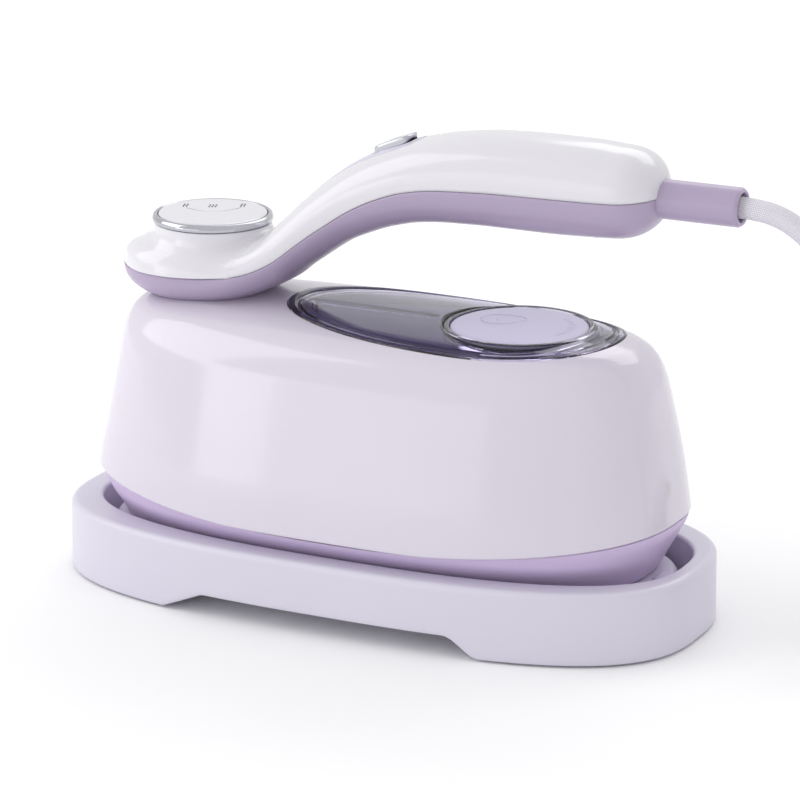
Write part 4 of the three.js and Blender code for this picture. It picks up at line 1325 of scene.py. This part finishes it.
        def ring(level: Array, inset: float = 0.0) -> Array:
            """Points round the head at a height for each angle."""
            centre, long, wide, blunt = (smooth(level, height, values) for values in outline)
            return stack(centre + (long - inset) * power(np.cos(angle), 2 / blunt),
                         (wide - inset) * power(np.sin(angle), 2 / blunt), level)

        low = np.full(angle.shape, self.nose_level + self.seam_gap)
        for _ in range(6):
            low = self.seam(ring(low)[:, 0]) + self.seam_gap
        rise = 138.1 - low
        wall = self._merged(np.array([ring(low + rise * share) for share in np.linspace(0.015, 1, 90)]))
        foot = wall[0] - ring(low + rise * 0.015)
        top = np.full(angle.shape, 138.4)
        rows = [ring(low, 6.0), ring(low, 0.4) + foot, ring(low + 0.08, 0.12) + foot, *wall,
                ring(top - 0.08, 0.08), ring(top, 0.3), ring(top, 12.0), ring(top - 2.4, 12.0)]
        neck = mesh_from_grid("neck", np.array(rows), wrap_rows=True)
        self.wardrobe.fit(neck, "white_shell", Body.IRON)

    def _merged(self, wall: Array) -> Array:
        """Moves a wall out along its normals to the smooth union of itself and the grip.

        Args:
            wall: the wall's rows of points.

        Returns:
            The moved rows; points deep inside the grip stay inside it.
        """
        up = np.gradient(wall, axis=0)
        on = np.roll(wall, -1, axis=1) - np.roll(wall, 1, axis=1)
        normal = np.cross(on, up)
        normal /= np.maximum(np.linalg.norm(normal, axis=-1, keepdims=True), 1e-9)
        blend, most = 5.0, 5.5
        out = np.zeros(wall.shape[:2])
        for _ in range(30):
            spot = wall + normal * out[..., None]
            middle, tall, wide, blunt = self.section(spot[..., 0])
            across = np.abs(spot[..., 1]) / np.maximum(wide, 1e-3)
            height = np.abs(spot[..., 2] - middle) / np.maximum(tall, 1e-3)
            level = np.maximum((across**blunt + height**blunt) ** (1 / blunt), 1e-3)
            reach = np.hypot(spot[..., 1], spot[..., 2] - middle) * (1 - 1 / level)
            gap = np.maximum(blend - np.abs(out - reach), 0.0)
            out = np.clip(out - 0.7 * (np.minimum(out, reach) - gap**2 / (4 * blend)), 0.0, most)
        return wall + normal * (out * ease((wall[..., 0] + 106) / 14))[..., None]

    def _dial(self) -> None:
        """The fixed panel with its three marks and arc, and the chrome ring round it."""
        seat, ring_seat = Seat.of("dial_panel"), Seat.of("selector_ring")
        centre = seat.centre
        top = float(seat.high[2])
        panel = turned("panel", ((0, 127), (11.7, 127), (11.7, 138.8), (21, 138.8), (21, top - 0.35),
                                 (20.2, top - 0.1), (0, top)), centre, 0.4, 180)
        self.wardrobe.fit(panel, "white_shell", Body.IRON, "dial_panel")
        low, high = float(ring_seat.low[2]), float(ring_seat.high[2])
        ring = turned("ring", ((21.3, low), (23.4, low), (23.4, low + 1.3), (22.9, high - 0.3), (22.3, high),
                               (21.6, high), (21.3, high - 0.4)), centre, 0.35, 240, closed=True)
        self.wardrobe.fit(ring, "chrome", Body.RING, "selector_ring")
        for order, (line, width) in enumerate(self._strokes()):
            self._mark(f"mark_{order + 1}", line, width, centre, top)

    @staticmethod
    def _strokes() -> list[tuple[Array, float]]:
        """Flat lines and widths of the marks: an arc that joins three groups of upright wavy strokes."""
        wide = np.linspace(-10.6, 10.6, 48)
        strokes = [(np.stack([wide, 7.3 * (wide / 11.4) ** 2 - 0.5], axis=-1), 0.2)]
        bend = np.linspace(-1, 1, 14)
        for x, y, count in ((-11.0, 9.6, 2), (-0.4, 8.4, 3), (11.2, 9.6, 2)):
            for item in range(count):
                shift = (item - (count - 1) / 2) * 1.2
                sway = x + shift + 0.3 * np.sin(bend * pi)
                strokes.append((np.stack([sway, y + 2.3 * bend], axis=-1), 0.5))
        return strokes

    def _mark(self, name: str, line: Array, width: float, centre: tuple[float, float], top: float) -> None:
        """One printed stroke, turned to face the front and pressed flat into the panel.

        Args:
            name: the piece's name.
            line: the stroke's points in plan, before its turn.
            width: the stroke's width.
            centre: the panel's centre.
            top: the panel's top.
        """
        route = np.column_stack([
            centre[0] + line[:, 0] * cos(FACING) - line[:, 1] * sin(FACING),
            centre[1] + line[:, 0] * sin(FACING) + line[:, 1] * cos(FACING), np.full(len(line), top - 0.02),
        ])
        mark = carried(name, route, width * 0.5, 6)
        flat = np.empty(len(mark.data.vertices) * 3)
        mark.data.vertices.foreach_get("co", flat)
        points = flat.reshape(-1, 3)
        points[:, 2] = np.clip(points[:, 2], (top - 0.2) * MM, top * MM)
        mark.data.vertices.foreach_set("co", points.ravel())
        self.wardrobe.fit(mark, "print_grey", Body.IRON)

    def _button(self) -> None:
        """The chrome steam button on its sloping lavender strip."""
        around, over = turn(96), np.linspace(-pi / 2, pi / 2, 48)[:, None]
        x = 3.5 + 7.5 * power(np.cos(over), 0.2) * power(np.cos(around), 0.4)
        y = 5.0 * power(np.cos(over), 0.2) * power(np.sin(around), 0.4)
        crown = self.top_at(x, 0 * y) + 0.7 + 1.9 * power(np.sin(over), 0.35)
        dish = 0.3 * np.exp(-(((x - 3.5) / 3.5) ** 2) - (y / 2.5) ** 2) * (np.sin(over) > 0)
        button = mesh_from_grid("button", stack(x, y, crown - dish))
        self.wardrobe.fit(button, "chrome", Body.BUTTON, "steam_button")
        self._strip()

    def _strip(self) -> None:
        """The inlay round the button: a lens-shaped skin, just proud of the top shell, with an opening."""
        plan = Oval(-34.0, 15.5, 8.8, 1.9, 2.4, 3.0)
        angle = turn(240)
        inner_x, inner_y = self.opening.at(angle)
        outer_x, outer_y = plan.at(angle)
        rows = []
        for share, lift in ((1.0, -0.5), (0.1, -0.5), (0.0, -0.2), (0.01, 0.1), (0.04, 0.22), (0.2, 0.24),
                            (0.4, 0.24), (0.6, 0.24), (0.8, 0.24), (0.95, 0.24), (0.99, 0.18), (1.0, 0.05)):
            x, y = outer_x + (inner_x - outer_x) * share, outer_y + (inner_y - outer_y) * share
            rows.append(stack(x, y, self.top_at(x, y) + lift))
        strip = mesh_from_grid("strip", np.array(rows), wrap_rows=True)
        self.wardrobe.fit(strip, "inlay_lavender", Body.IRON, "button_inlay")


# ------------------------------------------------------------------ hidden works
@dataclass
class Works(Assembly):
    """The soleplate and the works inside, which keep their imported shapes."""

    kept: dict[str, str] = field(default_factory=lambda: {
        "steam_chamber": "cast_aluminium", "heating_element": "steel", "chamber_gasket": "silicone",
        "chamber_cover": "steel", "water_inlet": "brass", "thermostat": "dark_plastic",
        "thermal_fuse": "clear", "pump_body": "dark_plastic", "pump_plunger": "steel",
        "pump_hose": "silicone", "tank_hose": "silicone", "control_board": "board_green",
        "button_spring": "steel", "steam_switch": "dark_plastic", "cord_clamp": "dark_plastic",
        "soleplate": "steel",
    })

    def build(self, frame: dict) -> None:
        """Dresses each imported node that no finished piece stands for.
        """
        for node, slot in self.kept.items():
            self.wardrobe.dress(frame["nodes"][node], slot)
            LOG.info("%s keeps its packed shape, in %s", node, slot)


def main() -> None:
    """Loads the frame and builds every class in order."""
    logging.basicConfig(level=logging.INFO, format="%(name)s %(message)s")
    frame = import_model()
    wardrobe = Wardrobe()
    Studio().build()
    for assembly in (Lead, RestTray, WaterBody, Handle):
        assembly(wardrobe).build()
    Works(wardrobe).build(frame)
    bpy.context.view_layer.update()


if __name__ == "__main__":
    main()
